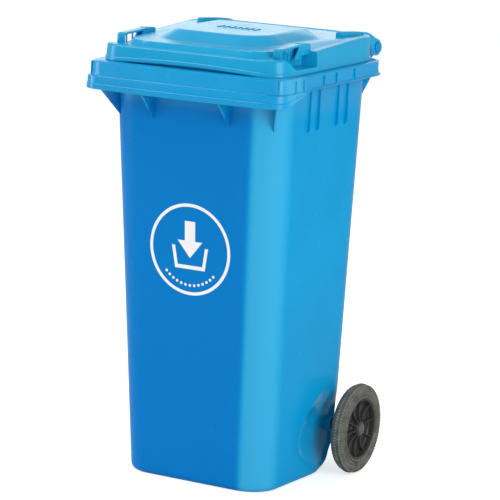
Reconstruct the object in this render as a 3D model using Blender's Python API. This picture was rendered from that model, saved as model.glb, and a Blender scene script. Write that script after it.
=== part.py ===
"""Two-wheeled 120 litre litter bin with a hinged lid, modelled as it comes apart on a bench.

Metres, +Z up. The front of the bin faces -Y and its wheels are at the rear, +Y. The origin is on the
floor under the middle of the bin. Pieces that come in pairs are made at +X and mirrored to -X.
"""
import math

import bmesh
import bpy
from mathutils import Matrix, Vector

# Collar: the rim's outer band, which a lifting comb takes from below
COLLAR_HALF_WIDTH = 0.240
COLLAR_FRONT = -0.269
COLLAR_DEPTH = 0.467
COLLAR_REAR = COLLAR_FRONT + COLLAR_DEPTH
COLLAR_FRONT_RADIUS = 0.046
COLLAR_REAR_RADIUS = 0.060
COLLAR_BOW = 0.006
COLLAR_WALL = 0.0035
COLLAR_STEP = 0.0035
COLLAR_TOP_ROUND = 0.002
BAND_DROP = 0.030
FRONT_DROP = 0.058
SIDE_DROP = 0.030
RAMP_START = -0.252
RAMP_END = -0.140

# Tub: how far its plan lies inside the collar's at the mouth, and inside that again at the floor
MOUTH_SIDE_LEDGE = 0.0261
MOUTH_FRONT_LEDGE = 0.0417
MOUTH_REAR_LEDGE = 0.011
MOUTH_RADIUS = 0.0785
SIDE_TAPER = 0.0369
FRONT_TAPER = 0.0673
REAR_TAPER = -0.007
BASE_RADIUS = 0.068
MOUTH_HALF_WIDTH = COLLAR_HALF_WIDTH - MOUTH_SIDE_LEDGE
MOUTH_FRONT = COLLAR_FRONT + MOUTH_FRONT_LEDGE
MOUTH_REAR = COLLAR_REAR - MOUTH_REAR_LEDGE
BASE_HALF_WIDTH = MOUTH_HALF_WIDTH - SIDE_TAPER
BASE_FRONT = MOUTH_FRONT + FRONT_TAPER
BASE_REAR = MOUTH_REAR - REAR_TAPER
RIM_HEIGHT = 0.887
RIM_SLOPE = 0.030
TUB_WALL = 0.0035
FLOOR_WALL = 0.0045
BASE_ROUNDING = 0.012
ROUND_SHARE = 0.293
LIP_HEIGHT = 0.010

# Fins under the collar: how far each foot lies below the collar's edge, and each toe above it
FIN_THICKNESS = 0.0035
FRONT_FIN_SHARE = 0.43
FRONT_FIN_FOOT = 0.055
CORNER_FIN_FOOT = 0.058
CORNER_FIN_TOE = 0.022
FIN_EMBED = 0.001
SIDE_RIB_Y = (-0.098, -0.060, 0.021, 0.061)
SIDE_RIB_FOOT = 0.098
SIDE_RIB_DEPTH = 0.008

# Lid: skirt, border, raised panel and dome, each surface with its own height and slope over the rim
LID_SIDE_LEDGE = 0.020
LID_FRONT_LEDGE = 0.028
LID_REAR_LEDGE = 0.002
LID_HALF_WIDTH = COLLAR_HALF_WIDTH - LID_SIDE_LEDGE
LID_FRONT = COLLAR_FRONT + LID_FRONT_LEDGE
LID_REAR = COLLAR_REAR - LID_REAR_LEDGE
LID_FRONT_RADIUS = 0.048
LID_REAR_RADIUS = 0.075
LID_WALL = 0.0035
LID_CORE_INSET = 0.015
LID_SEAT_GAP = 0.0004
LID_LIP_HEIGHT = 0.008
LID_LIP_PROUD = 0.0015
LID_DRAFT = 0.002
LID_ARCH = 0.005
EDGE_HEIGHT = 0.033
EDGE_SLOPE = 0.0535
EDGE_ROLL = 0.001
PANEL_HEIGHT = 0.0455
PANEL_SLOPE = 0.025
PANEL_ROLL = 0.001
DOME_HEIGHT = 0.0695
DOME_SLOPE = -0.026
BORDER_INSET = 0.014
PANEL_INSET = 0.021
DOME_SIDE_BORDER = 0.070
DOME_FRONT_BORDER = 0.041
DOME_REAR_BORDER = 0.036
DOME_FOOT_RADIUS = 0.050
DOME_SIDE_RUN = 0.032
DOME_FRONT_RUN = 0.043
DOME_REAR_RUN = 0.030
DOME_TOP_RADIUS = 0.032

# Lid grips: a scoop in each side of the lid, bridged by a bar on posts
SCOOP_SETBACK = 0.029
SCOOP_LENGTH = 0.120
SCOOP_FRONT = LID_FRONT + SCOOP_SETBACK
SCOOP_REAR = SCOOP_FRONT + SCOOP_LENGTH
SCOOP_SLANT = 0.016
SCOOP_FLOOR = 0.0185
SCOOP_DEPTH = 0.034
GRIP_INSET = 0.020
GRIP_BAR_X = LID_HALF_WIDTH - GRIP_INSET
GRIP_BAR_WIDTH = 0.011
GRIP_BAR_THICKNESS = 0.008
GRIP_SETBACK = 0.028
GRIP_FRONT_Y = SCOOP_FRONT + GRIP_SETBACK
GRIP_FRONT_Z = 0.047
GRIP_REAR_Z = 0.053
GRIP_BLOCK_LENGTH = 0.034
GRIP_BLOCK_WIDTH = 0.022
GRIP_BLOCK_REACH = 0.004
GRIP_BLOCK_FALL = 0.004
GRIP_POSTS = (0.0, 0.032, 0.066)
GRIP_POST_THICKNESS = 0.0035

# Lid hinge and pull handle, on one axis behind the collar
HINGE_REACH = 0.052
HINGE_LIFT = 0.016
EAR_RADIUS = 0.025
EAR_INSET = 0.0719
EAR_X = MOUTH_HALF_WIDTH - EAR_INSET
EAR_THICKNESS = 0.021
EAR_ARC = (-110, 140)
HANDLE_RADIUS = 0.014
KNUCKLE_RADIUS = 0.018
KNUCKLE_THICKNESS = 0.016
KNUCKLE_ROOT = 0.040
KNUCKLE_CROWN = 0.003
KNUCKLE_ARC = (-100, 90)
HINGE_SIDE_GAP = 0.0006
PIN_RADIUS = 0.006
PIN_CLEARANCE = 0.0003
PIN_HEAD_RADIUS = 0.013
PIN_HEAD_THICKNESS = 0.004
PIN_HEAD_BEVEL = 0.0015
PIN_BITE = 0.018

# Wheels, axle and the pieces that space and hold them
AXLE_SETBACK = 0.043
AXLE_Y = BASE_REAR - AXLE_SETBACK
AXLE_RADIUS = 0.010
AXLE_CLEARANCE = 0.0003
AXLE_CHAMFER = 0.0015
AXLE_END_GAP = 0.004
TYRE_RADIUS = 0.098
TYRE_WIDTH = 0.031
TYRE_SHOULDER = 0.010
WHEEL_PROUD = 0.0015
WHEEL_OUTER_X = COLLAR_HALF_WIDTH + WHEEL_PROUD
TYRE_BORE = 0.065
TYRE_BEAD_DEPTH = 0.002
TYRE_BEAD_HEIGHT = 0.004
TYRE_BULGE = 0.003
TYRE_BULGE_DROP = 0.0035
RIM_WALL = 0.005
RIM_WEB = 0.004
RIM_WEB_INSET = 0.0124
RIM_INNER_INSET = 0.004
RIM_OUTER_INSET = 0.005
BOSS_RADIUS = 0.018
BOSS_FLARE = 0.002
SPOKE_COUNT = 10
SPOKE_THICKNESS = 0.003
SPOKE_START = 9
SPOKE_STEPS = 5
SPOKE_DIP = 0.0055
SPOKE_INSET = 0.002
FIT_GAP = 0.0003
WASHER_THICKNESS = 0.002
WASHER_RADIUS = 0.019
SLEEVE_RADIUS = 0.0145
GROOVE_DEPTH = 0.0022
GROOVE_WIDTH = 0.0076
GROOVE_TO_END = 0.006
LOCK_PIN_RADIUS = 0.003
LOCK_PIN_LENGTH = 0.011
LOCK_SPRING_LENGTH = 0.011
LOCK_SPRING_TURNS = 5
LOCK_SPRING_WIRE = 0.0004
COIL_STEPS = 10
WIRE_STEPS = 5
LOCK_TOWER_WALL = 0.003
CAP_RADIUS = 0.0125
CAP_HEIGHT = 0.005
CAP_DOME = ((0.5, 0.94), (0.85, 0.75), (1.0, 0.40))

# Wheel housings in the tub's sides, the raked underside behind them and the open bay over the axle
HOUSING_REACH = 0.164
HOUSING_FRONT = AXLE_Y - HOUSING_REACH
HOUSING_MIDDLE_Z = 0.087
HOUSING_RISE = 0.095
HOUSING_DIP = 0.040
HOUSING_CURVE = 0.133
HOUSING_FOOT = ((0.020, 0.031), (0.072, 0.060), (0.098, 0.0735), (0.073, 0.089))
HOUSING_FRONT_DEPTH = 0.005
HOUSING_AXLE_DEPTH = 0.018
HOUSING_FRONT_X = BASE_HALF_WIDTH - HOUSING_FRONT_DEPTH
HOUSING_AXLE_X = BASE_HALF_WIDTH - HOUSING_AXLE_DEPTH
RAKE = ((0.098, 0.0), (0.120, 0.0095), (0.137, 0.0192), (0.150, 0.040), (0.194, 0.088))
BAY_FRONT = 0.122
BAY_ROOF_GAP = 0.0085
BEARING_WEB_INSET = 0.024
BEARING_WEB_X = (0.050, HOUSING_AXLE_X - BEARING_WEB_INSET)
BEARING_WEB_THICKNESS = 0.005
BEARING_PAD_RADIUS = 0.0165
BEARING_PAD_PROUD = 0.013

CORNER_STEPS = 6
FRONT_STEPS = 6
WHEEL_STEPS = 40
ROUND_STEPS = 20
SMALL_STEPS = 12
ARC_STEPS = 12
EDGE_CHAMFER = 0.001
OVERLAP = 0.001
CUT_PAST = 0.050

BLUE = (0.012, 0.262, 0.680, 1.0)
STEEL = (0.55, 0.56, 0.57, 1.0)
DARK_GREY = (0.060, 0.062, 0.066, 1.0)
RUBBER_GREY = (0.110, 0.108, 0.100, 1.0)

# Places that follow from the sizes above
HINGE_Y = COLLAR_REAR + HINGE_REACH
HINGE_Z = RIM_HEIGHT + RIM_SLOPE * (COLLAR_REAR - COLLAR_FRONT) + HINGE_LIFT
KNUCKLE_X = EAR_X + EAR_THICKNESS + HINGE_SIDE_GAP
AXLE_Z = TYRE_RADIUS
WHEEL_INNER_X = WHEEL_OUTER_X - TYRE_WIDTH
PAD_FACE_X = HOUSING_AXLE_X + BEARING_PAD_PROUD
BORE_END_X = WHEEL_OUTER_X - CAP_HEIGHT - 2 * FIT_GAP
AXLE_END_X = BORE_END_X - AXLE_END_GAP
GROOVE_X = AXLE_END_X - GROOVE_TO_END - GROOVE_WIDTH / 2
BORE_RADIUS = AXLE_RADIUS + AXLE_CLEARANCE
PIN_TIP = AXLE_RADIUS - GROOVE_DEPTH + FIT_GAP
SPRING_FOOT = PIN_TIP + LOCK_PIN_LENGTH + FIT_GAP
POCKET_TOP = SPRING_FOOT + LOCK_SPRING_LENGTH + FIT_GAP
BAY_HEIGHT = AXLE_Z + AXLE_RADIUS + BAY_ROOF_GAP


def make_material(name, colour, roughness, metallic=0.0):
    """A Principled material in one colour."""
    material = bpy.data.materials.new(name)
    material.use_nodes = True
    shader = material.node_tree.nodes["Principled BSDF"]
    shader.inputs["Base Color"].default_value = colour
    shader.inputs["Roughness"].default_value = roughness
    shader.inputs["Metallic"].default_value = metallic
    material.diffuse_color = colour
    return material


def add_object(name, bm, material, origin=(0.0, 0.0, 0.0), smooth=None):
    """Turn a bmesh in world coordinates into an object whose origin is at the given point."""
    bmesh.ops.recalc_face_normals(bm, faces=bm.faces)
    bmesh.ops.translate(bm, verts=bm.verts, vec=-Vector(origin))
    mesh = bpy.data.meshes.new(name)
    bm.to_mesh(mesh)
    bm.free()
    if material:
        mesh.materials.append(material)
    item = bpy.data.objects.new(name, mesh)
    item.location = origin
    bpy.context.scene.collection.objects.link(item)
    if smooth:
        mesh.shade_smooth()
        mesh.set_sharp_from_angle(angle=math.radians(smooth))
    return item


def combine(target, bm, operation):
    """Join a closed bmesh to the target, or cut it from it."""
    tool = add_object("tool", bm, None)
    modifier = target.modifiers.new(operation, "BOOLEAN")
    modifier.operation = operation
    modifier.object = tool
    modifier.solver = "EXACT"
    bpy.context.view_layer.update()
    graph = bpy.context.evaluated_depsgraph_get()
    result = bpy.data.meshes.new_from_object(target.evaluated_get(graph))
    target.modifiers.clear()
    target.data = result
    bpy.data.objects.remove(tool)


def to_bmesh(item):
    """The object's mesh in world coordinates, ready to be used as a tool; the object is removed."""
    bm = bmesh.new()
    bm.from_mesh(item.data)
    bmesh.ops.translate(bm, verts=bm.verts, vec=item.location)
    bpy.data.objects.remove(item)
    return bm


def lerp(start, end, share):
    return start + (end - start) * share


def outline(half_width, front, rear, front_radius, rear_radius, bow=0.0):
    """Plan points anticlockwise from the front left corner: front run, right side, rear, left side."""
    points = []
    run = half_width - front_radius
    for step in range(1, FRONT_STEPS):
        x = lerp(-run, run, step / FRONT_STEPS)
        points.append((x, front - bow * (1 - (x / run) ** 2)))
    ramp_share = (RAMP_END - COLLAR_FRONT - COLLAR_FRONT_RADIUS) / (
        COLLAR_REAR - COLLAR_REAR_RADIUS - COLLAR_FRONT - COLLAR_FRONT_RADIUS
    )
    side_y = lerp(front + front_radius, rear - rear_radius, ramp_share)
    corners = (
        (run, front + front_radius, front_radius, -90),
        (half_width - rear_radius, rear - rear_radius, rear_radius, 0),
        (rear_radius - half_width, rear - rear_radius, rear_radius, 90),
        (-run, front + front_radius, front_radius, 180),
    )
    for index, (x, y, radius, start) in enumerate(corners):
        for step in range(CORNER_STEPS + 1):
            angle = math.radians(start + 90 * step / CORNER_STEPS)
            points.append((x + radius * math.cos(angle), y + radius * math.sin(angle)))
        if index == 0:
            points.append((half_width, side_y))
        if index == 2:
            points.append((-half_width, side_y))
    return points


def ring(plan, height):
    """Lift a plan to a height, which is a number or a function of x and y."""
    if callable(height):
        return [Vector((x, y, height(x, y))) for x, y in plan]
    return [Vector((x, y, height)) for x, y in plan]


def loft(rings, closed=False):
    """Skin a list of equal rings, with a cap on the first and the last one."""
    bm = bmesh.new()
    rows = [[bm.verts.new(point) for point in points] for points in rings]
    pairs = list(zip(rows, rows[1:]))
    if closed:
        pairs.append((rows[-1], rows[0]))
    count = len(rows[0])
    for low, high in pairs:
        for i in range(count):
            j = (i + 1) % count
            bm.faces.new((low[i], low[j], high[j], high[i]))
    if not closed:
        bm.faces.new(list(reversed(rows[0])))
        bm.faces.new(rows[-1])
    return bm


def block(low, high):
    """A box between two corners."""
    plan = [(low[0], low[1]), (high[0], low[1]), (high[0], high[1]), (low[0], high[1])]
    return loft([ring(plan, low[2]), ring(plan, high[2])])


def plate(profile, low_x, high_x):
    """A plate between two planes across X, with a profile of (y, z) points."""
    return loft([[Vector((x, y, z)) for y, z in profile] for x in (low_x, high_x)])


def turned(profile, centre, steps, axis="X"):
    """A solid turned about X or Z through the centre, from a closed profile of (along, radius)."""
    rings = []
    for step in range(steps):
        angle = 2 * math.pi * step / steps
        c, s = math.cos(angle), math.sin(angle)
        if axis == "X":
            points = [Vector((along, radius * c, radius * s)) for along, radius in profile]
        else:
            points = [Vector((radius * c, radius * s, along)) for along, radius in profile]
        rings.append([point + Vector(centre) for point in points])
    return loft(rings, closed=True)


def rod(start, end, radius, steps=ROUND_STEPS):
    """A round bar from one point to another."""
    start, end = Vector(start), Vector(end)
    turn = (end - start).to_track_quat("Z", "Y").to_matrix()
    circle = [
        Vector((math.cos(2 * math.pi * i / steps), math.sin(2 * math.pi * i / steps), 0.0)) * radius
        for i in range(steps)
    ]
    return loft([[point + turn @ spot for spot in circle] for point in (start, end)])


def mirrored(bm):
    """A copy of a bmesh on the other side of the YZ plane."""
    copy = bm.copy()
    bmesh.ops.transform(copy, matrix=Matrix.Scale(-1, 4, (1, 0, 0)), verts=copy.verts)
    bmesh.ops.reverse_faces(copy, faces=copy.faces)
    return copy


def combine_both(target, bm, operation):
    """Join or cut a bmesh and its mirror image."""
    other = mirrored(bm)
    combine(target, bm, operation)
    combine(target, other, operation)


def rim_top(x, y):
    """Height of the collar's top ledge, which rises to the rear."""
    return RIM_HEIGHT + RIM_SLOPE * (y - COLLAR_FRONT)


def ledge_underside(x, y):
    return rim_top(x, y) - COLLAR_WALL


def collar_edge(x, y):
    """Lower edge of the collar: deep at the front, shallow at the sides and the rear."""
    share = min(max((y - RAMP_START) / (RAMP_END - RAMP_START), 0.0), 1.0)
    return rim_top(x, y) - lerp(FRONT_DROP, SIDE_DROP, share)


def collar_step(x, y):
    """Height at which the collar's upper band stands back from its lower one."""
    return max(rim_top(x, y) - BAND_DROP, collar_edge(x, y) + COLLAR_STEP)


def tub_plan(height, inset=0.0):
    """Plan of the tub's outside at a height, or of a skin that lies inside it."""
    share = height / RIM_HEIGHT
    return outline(
        lerp(BASE_HALF_WIDTH, MOUTH_HALF_WIDTH, share) - inset,
        lerp(BASE_FRONT, MOUTH_FRONT, share) + inset,
        lerp(BASE_REAR, MOUTH_REAR, share) - inset,
        lerp(BASE_RADIUS, MOUTH_RADIUS, share) - inset,
        lerp(BASE_RADIUS, MOUTH_RADIUS, share) - inset,
    )


def collar_plan(inset):
    return outline(
        COLLAR_HALF_WIDTH - inset,
        COLLAR_FRONT + inset,
        COLLAR_REAR - inset,
        COLLAR_FRONT_RADIUS - inset,
        COLLAR_REAR_RADIUS - inset,
        COLLAR_BOW,
    )


def housing_cutter(grow):
    """What a wheel housing takes out of the tub's right side, or that shape grown by a wall."""
    centre_y = HOUSING_FRONT + HOUSING_CURVE
    rear_y = BASE_REAR + CUT_PAST
    profile = [(rear_y, HOUSING_MIDDLE_Z + HOUSING_RISE - HOUSING_DIP + grow)]
    for step in range(CORNER_STEPS + 1):
        angle = math.radians(90 + 90 * step / CORNER_STEPS)
        y = centre_y + (HOUSING_CURVE + grow) * math.cos(angle)
        z = HOUSING_MIDDLE_Z + (HOUSING_RISE + grow) * math.sin(angle)
        profile.append((y, z))
    for back, down in HOUSING_FOOT:
        profile.append((HOUSING_FRONT + back - grow, HOUSING_MIDDLE_Z - down - grow))
    profile.append((rear_y, profile[-1][1]))
    slope = (HOUSING_AXLE_X - HOUSING_FRONT_X) / (AXLE_Y - HOUSING_FRONT)
    wall = []
    outside = []
    for y, z in profile:
        wall.append(Vector((HOUSING_AXLE_X + slope * (y - AXLE_Y) - grow, y, z)))
        outside.append(Vector((MOUTH_HALF_WIDTH + CUT_PAST, y, z)))
    return loft([wall, outside])


def rake_cutter(grow):
    """What lies below the tub's raked underside, or that shape grown by a wall."""
    low = -2 * CUT_PAST
    profile = [(y - grow, z + grow) for y, z in RAKE]
    profile.append((BASE_REAR + CUT_PAST, profile[-1][1]))
    profile.append((BASE_REAR + CUT_PAST, low))
    profile.append((profile[0][0], low))
    return plate(profile, -MOUTH_HALF_WIDTH - CUT_PAST, MOUTH_HALF_WIDTH + CUT_PAST)


def corner_spot(half_width, end, radius, side, inset):
    """A point half way round a plan's corner, where the end is the plan's front or rear."""
    swing = (radius - inset) * math.sqrt(0.5)
    way = -1 if end < 0 else 1
    return Vector((side * (half_width - radius + swing), end + way * (swing - radius), 0.0))


def fin(root, toe, foot_z, toe_z):
    """A fin from a wall out to its toe, with a slanting lower edge and its top in the collar's ledge."""
    way = (toe - root).normalized()
    side = Vector((-way.y, way.x, 0.0)) * FIN_THICKNESS / 2
    root_top = rim_top(root.x, root.y) - COLLAR_WALL / 2
    toe_top = rim_top(toe.x, toe.y) - COLLAR_WALL / 2
    profile = ((root, foot_z), (toe, toe_z), (toe, toe_top), (root, root_top))
    corners = [Vector((spot.x, spot.y, z)) for spot, z in profile]
    return loft([[point - side for point in corners], [point + side for point in corners]])


def make_body(material):
    """Tub, collar, fins, wheel housings, bearing webs, hinge ears and handle: one moulding."""
    base_round = BASE_ROUNDING * ROUND_SHARE
    rings = [
        ring(tub_plan(0.0, BASE_ROUNDING), 0.0),
        ring(tub_plan(base_round, base_round), base_round),
        ring(tub_plan(BASE_ROUNDING), BASE_ROUNDING),
        ring(tub_plan(RIM_HEIGHT), ledge_underside),
        ring(collar_plan(COLLAR_STEP + COLLAR_WALL), ledge_underside),
        ring(collar_plan(COLLAR_WALL), collar_edge),
        ring(collar_plan(0.0), collar_edge),
        ring(collar_plan(EDGE_CHAMFER), collar_step),
        ring(collar_plan(COLLAR_STEP), lambda x, y: collar_step(x, y) + EDGE_CHAMFER),
        ring(collar_plan(COLLAR_STEP), lambda x, y: rim_top(x, y) - COLLAR_TOP_ROUND),
        ring(collar_plan(COLLAR_STEP + COLLAR_TOP_ROUND), rim_top),
        ring(tub_plan(RIM_HEIGHT), rim_top),
        ring(tub_plan(RIM_HEIGHT), lambda x, y: rim_top(x, y) + LIP_HEIGHT),
    ]
    body = add_object("body", loft(rings), material)

    # Fins under the front of the collar and at its corners, and upright ribs along its sides; their
    # roots reach into the tub's hollow, which is cut later
    front_low = RIM_HEIGHT - FRONT_DROP
    foot_z = front_low - FRONT_FIN_FOOT
    wall_front = lerp(BASE_FRONT, MOUTH_FRONT, foot_z / RIM_HEIGHT)
    fin_x = FRONT_FIN_SHARE * MOUTH_HALF_WIDTH
    for x in (-fin_x, fin_x):
        root = Vector((x, wall_front + FIN_EMBED, 0.0))
        toe = Vector((x, COLLAR_FRONT + COLLAR_WALL / 2, 0.0))
        combine(body, fin(root, toe, foot_z, front_low + OVERLAP), "UNION")
    corners = (
        (BASE_FRONT, MOUTH_FRONT, COLLAR_FRONT, COLLAR_FRONT_RADIUS, front_low),
        (BASE_REAR, MOUTH_REAR, COLLAR_REAR, COLLAR_REAR_RADIUS, collar_edge(0.0, COLLAR_REAR)),
    )
    for base_end, mouth_end, collar_end, collar_radius, low in corners:
        foot_z = low - CORNER_FIN_FOOT
        share = foot_z / RIM_HEIGHT
        wall_side = lerp(BASE_HALF_WIDTH, MOUTH_HALF_WIDTH, share)
        wall_radius = lerp(BASE_RADIUS, MOUTH_RADIUS, share)
        wall_end = lerp(base_end, mouth_end, share)
        for side in (-1, 1):
            root = corner_spot(wall_side, wall_end, wall_radius, side, FIN_EMBED)
            toe = corner_spot(COLLAR_HALF_WIDTH, collar_end, collar_radius, side, COLLAR_WALL / 2)
            combine(body, fin(root, toe, foot_z, low + CORNER_FIN_TOE), "UNION")
    for y in SIDE_RIB_Y:
        foot_z = collar_edge(0.0, y) - SIDE_RIB_FOOT
        wall_side = lerp(BASE_HALF_WIDTH, MOUTH_HALF_WIDTH, foot_z / RIM_HEIGHT)
        root = Vector((wall_side - FIN_EMBED, y, 0.0))
        toe = root + Vector((SIDE_RIB_DEPTH, 0.0, 0.0))
        combine_both(body, fin(root, toe, foot_z, foot_z + SIDE_RIB_DEPTH), "UNION")

    # Ears that carry the handle bar and the lid's hinge pins
    combine_both(body, plate(ear_profile(), EAR_X, EAR_X + EAR_THICKNESS), "UNION")
    reach = EAR_X + EAR_THICKNESS / 2
    handle = rod((-reach, HINGE_Y, HINGE_Z), (reach, HINGE_Y, HINGE_Z), HANDLE_RADIUS)
    combine(body, handle, "UNION")
    pin_hole = rod(
        (EAR_X + EAR_THICKNESS - PIN_BITE - FIT_GAP, HINGE_Y, HINGE_Z),
        (KNUCKLE_X + KNUCKLE_THICKNESS, HINGE_Y, HINGE_Z),
        PIN_RADIUS + PIN_CLEARANCE,
    )
    combine_both(body, pin_hole, "DIFFERENCE")

    # Wheel housings
    combine_both(body, housing_cutter(0.0), "DIFFERENCE")

    # The hollow, whose floor follows the rake and steps up over the axle, and the bay under the step
    wide = MOUTH_HALF_WIDTH + CUT_PAST
    rear_y = BASE_REAR + CUT_PAST
    core_top = RIM_HEIGHT + FRONT_DROP
    core_rings = [ring(tub_plan(-CUT_PAST, TUB_WALL), -CUT_PAST)]
    core_rings.append(ring(tub_plan(core_top, TUB_WALL), core_top))
    core = add_object("core", loft(core_rings), None)
    combine_both(core, housing_cutter(TUB_WALL), "DIFFERENCE")
    bay = add_object("bay", block((-wide, BAY_FRONT, -CUT_PAST), (wide, rear_y, BAY_HEIGHT)), None)
    core_copy = bmesh.new()
    core_copy.from_mesh(core.data)
    combine(bay, core_copy, "INTERSECT")
    floor = block((-wide, -wide - CUT_PAST, -2 * CUT_PAST), (wide, rear_y, FLOOR_WALL))
    combine(core, floor, "DIFFERENCE")
    step_top = BAY_HEIGHT + TUB_WALL
    step = block((-wide, BAY_FRONT - TUB_WALL, -2 * CUT_PAST), (wide, rear_y, step_top))
    combine(core, step, "DIFFERENCE")
    combine(core, rake_cutter(FLOOR_WALL), "DIFFERENCE")
    combine(body, to_bmesh(core), "DIFFERENCE")
    combine(body, to_bmesh(bay), "DIFFERENCE")

    # Bearing webs across the bay, pads for the sleeves, and the axle's hole through them all
    web_rear = lerp(BASE_REAR, MOUTH_REAR, BAY_HEIGHT / RIM_HEIGHT) - TUB_WALL / 2
    for x in BEARING_WEB_X:
        web = block(
            (x - BEARING_WEB_THICKNESS / 2, BAY_FRONT - TUB_WALL / 2, FLOOR_WALL),
            (x + BEARING_WEB_THICKNESS / 2, web_rear, BAY_HEIGHT + TUB_WALL / 2),
        )
        combine_both(body, web, "UNION")
    pad = rod(
        (HOUSING_AXLE_X - TUB_WALL / 2, AXLE_Y, AXLE_Z),
        (PAD_FACE_X, AXLE_Y, AXLE_Z),
        BEARING_PAD_RADIUS,
    )
    combine_both(body, pad, "UNION")
    reach = HOUSING_AXLE_X + CUT_PAST
    hole = rod((-reach, AXLE_Y, AXLE_Z), (reach, AXLE_Y, AXLE_Z), BORE_RADIUS)
    combine(body, hole, "DIFFERENCE")
    combine(body, rake_cutter(0.0), "DIFFERENCE")


def ear_profile():
    """Side view of an ear: a root on the collar's rear and a round end about the hinge axis."""
    root_y = COLLAR_REAR - COLLAR_WALL / 2
    shelf = rim_top(0.0, COLLAR_REAR) - COLLAR_TOP_ROUND
    points = [(root_y, shelf), (root_y, collar_edge(0.0, COLLAR_REAR) + OVERLAP)]
    for step in range(ARC_STEPS + 1):
        angle = math.radians(lerp(EAR_ARC[0], EAR_ARC[1], step / ARC_STEPS))
        points.append((HINGE_Y + EAR_RADIUS * math.cos(angle), HINGE_Z + EAR_RADIUS * math.sin(angle)))
    return points


def lid_plan(inset):
    return outline(
        LID_HALF_WIDTH - inset,
        LID_FRONT + inset,
        LID_REAR - inset,
        LID_FRONT_RADIUS - inset,
        LID_REAR_RADIUS - inset,
    )


def skirt_edge(x, y):
    """Lower edge of the lid's skirt: it lies on the rim, and arches up along the front."""
    run = LID_HALF_WIDTH - LID_FRONT_RADIUS
    arch = 0.0
    if y < LID_FRONT + LID_FRONT_RADIUS / 2:
        arch = LID_ARCH * max(1 - (x / run) ** 2, 0.0)
    return rim_top(x, y) + LID_SEAT_GAP + arch


def lid_edge(x, y):
    """Top of the skirt, where the border begins."""
    return rim_top(x, y) + EDGE_HEIGHT + EDGE_SLOPE * (y - LID_FRONT)


def lid_panel(x, y):
    return rim_top(x, y) + PANEL_HEIGHT + PANEL_SLOPE * (y - LID_FRONT)


def lid_dome(x, y):
    return rim_top(x, y) + DOME_HEIGHT + DOME_SLOPE * (y - LID_FRONT)


def lid_surface(drop):
    """The lid's upper rings from the skirt's top inwards, or the same rings one wall lower."""
    half_width = LID_HALF_WIDTH - DOME_SIDE_BORDER
    front = LID_FRONT + DOME_FRONT_BORDER
    rear = LID_REAR - DOME_REAR_BORDER
    foot = outline(half_width, front, rear, DOME_FOOT_RADIUS, DOME_FOOT_RADIUS)
    top = outline(
        half_width - DOME_SIDE_RUN,
        front + DOME_FRONT_RUN,
        rear - DOME_REAR_RUN,
        DOME_TOP_RADIUS,
        DOME_TOP_RADIUS,
    )
    return [
        ring(lid_plan(LID_DRAFT + drop), lambda x, y: lid_edge(x, y) - drop),
        ring(lid_plan(BORDER_INSET), lambda x, y: lid_edge(x, y) + EDGE_ROLL - drop),
        ring(lid_plan(PANEL_INSET), lambda x, y: lid_panel(x, y) - drop),
        ring(foot, lambda x, y: lid_panel(x, y) + PANEL_ROLL - drop),
        ring(top, lambda x, y: lid_dome(x, y) - drop),
    ]


def scoop_cutter(grow):
    """What a grip scoop takes out of the lid's right side, or that shape grown by a wall."""
    low = rim_top(0.0, SCOOP_FRONT) + SCOOP_FLOOR - grow
    high = low + 2 * CUT_PAST
    profile = [
        (SCOOP_FRONT - SCOOP_SLANT / 2 - grow, high),
        (SCOOP_FRONT - SCOOP_SLANT / 2 - grow, lid_edge(0.0, SCOOP_FRONT) - grow),
        (SCOOP_FRONT + SCOOP_SLANT - grow, low),
        (SCOOP_REAR + grow, low),
        (SCOOP_REAR + grow, high),
    ]
    return plate(profile, LID_HALF_WIDTH - SCOOP_DEPTH - grow, LID_HALF_WIDTH + CUT_PAST)


def grip_line(y):
    """Height of the grip bar's top along the lid's side."""
    share = (y - GRIP_FRONT_Y) / (SCOOP_REAR - GRIP_FRONT_Y)
    return rim_top(0.0, y) + lerp(GRIP_FRONT_Z, GRIP_REAR_Z, share)


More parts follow.
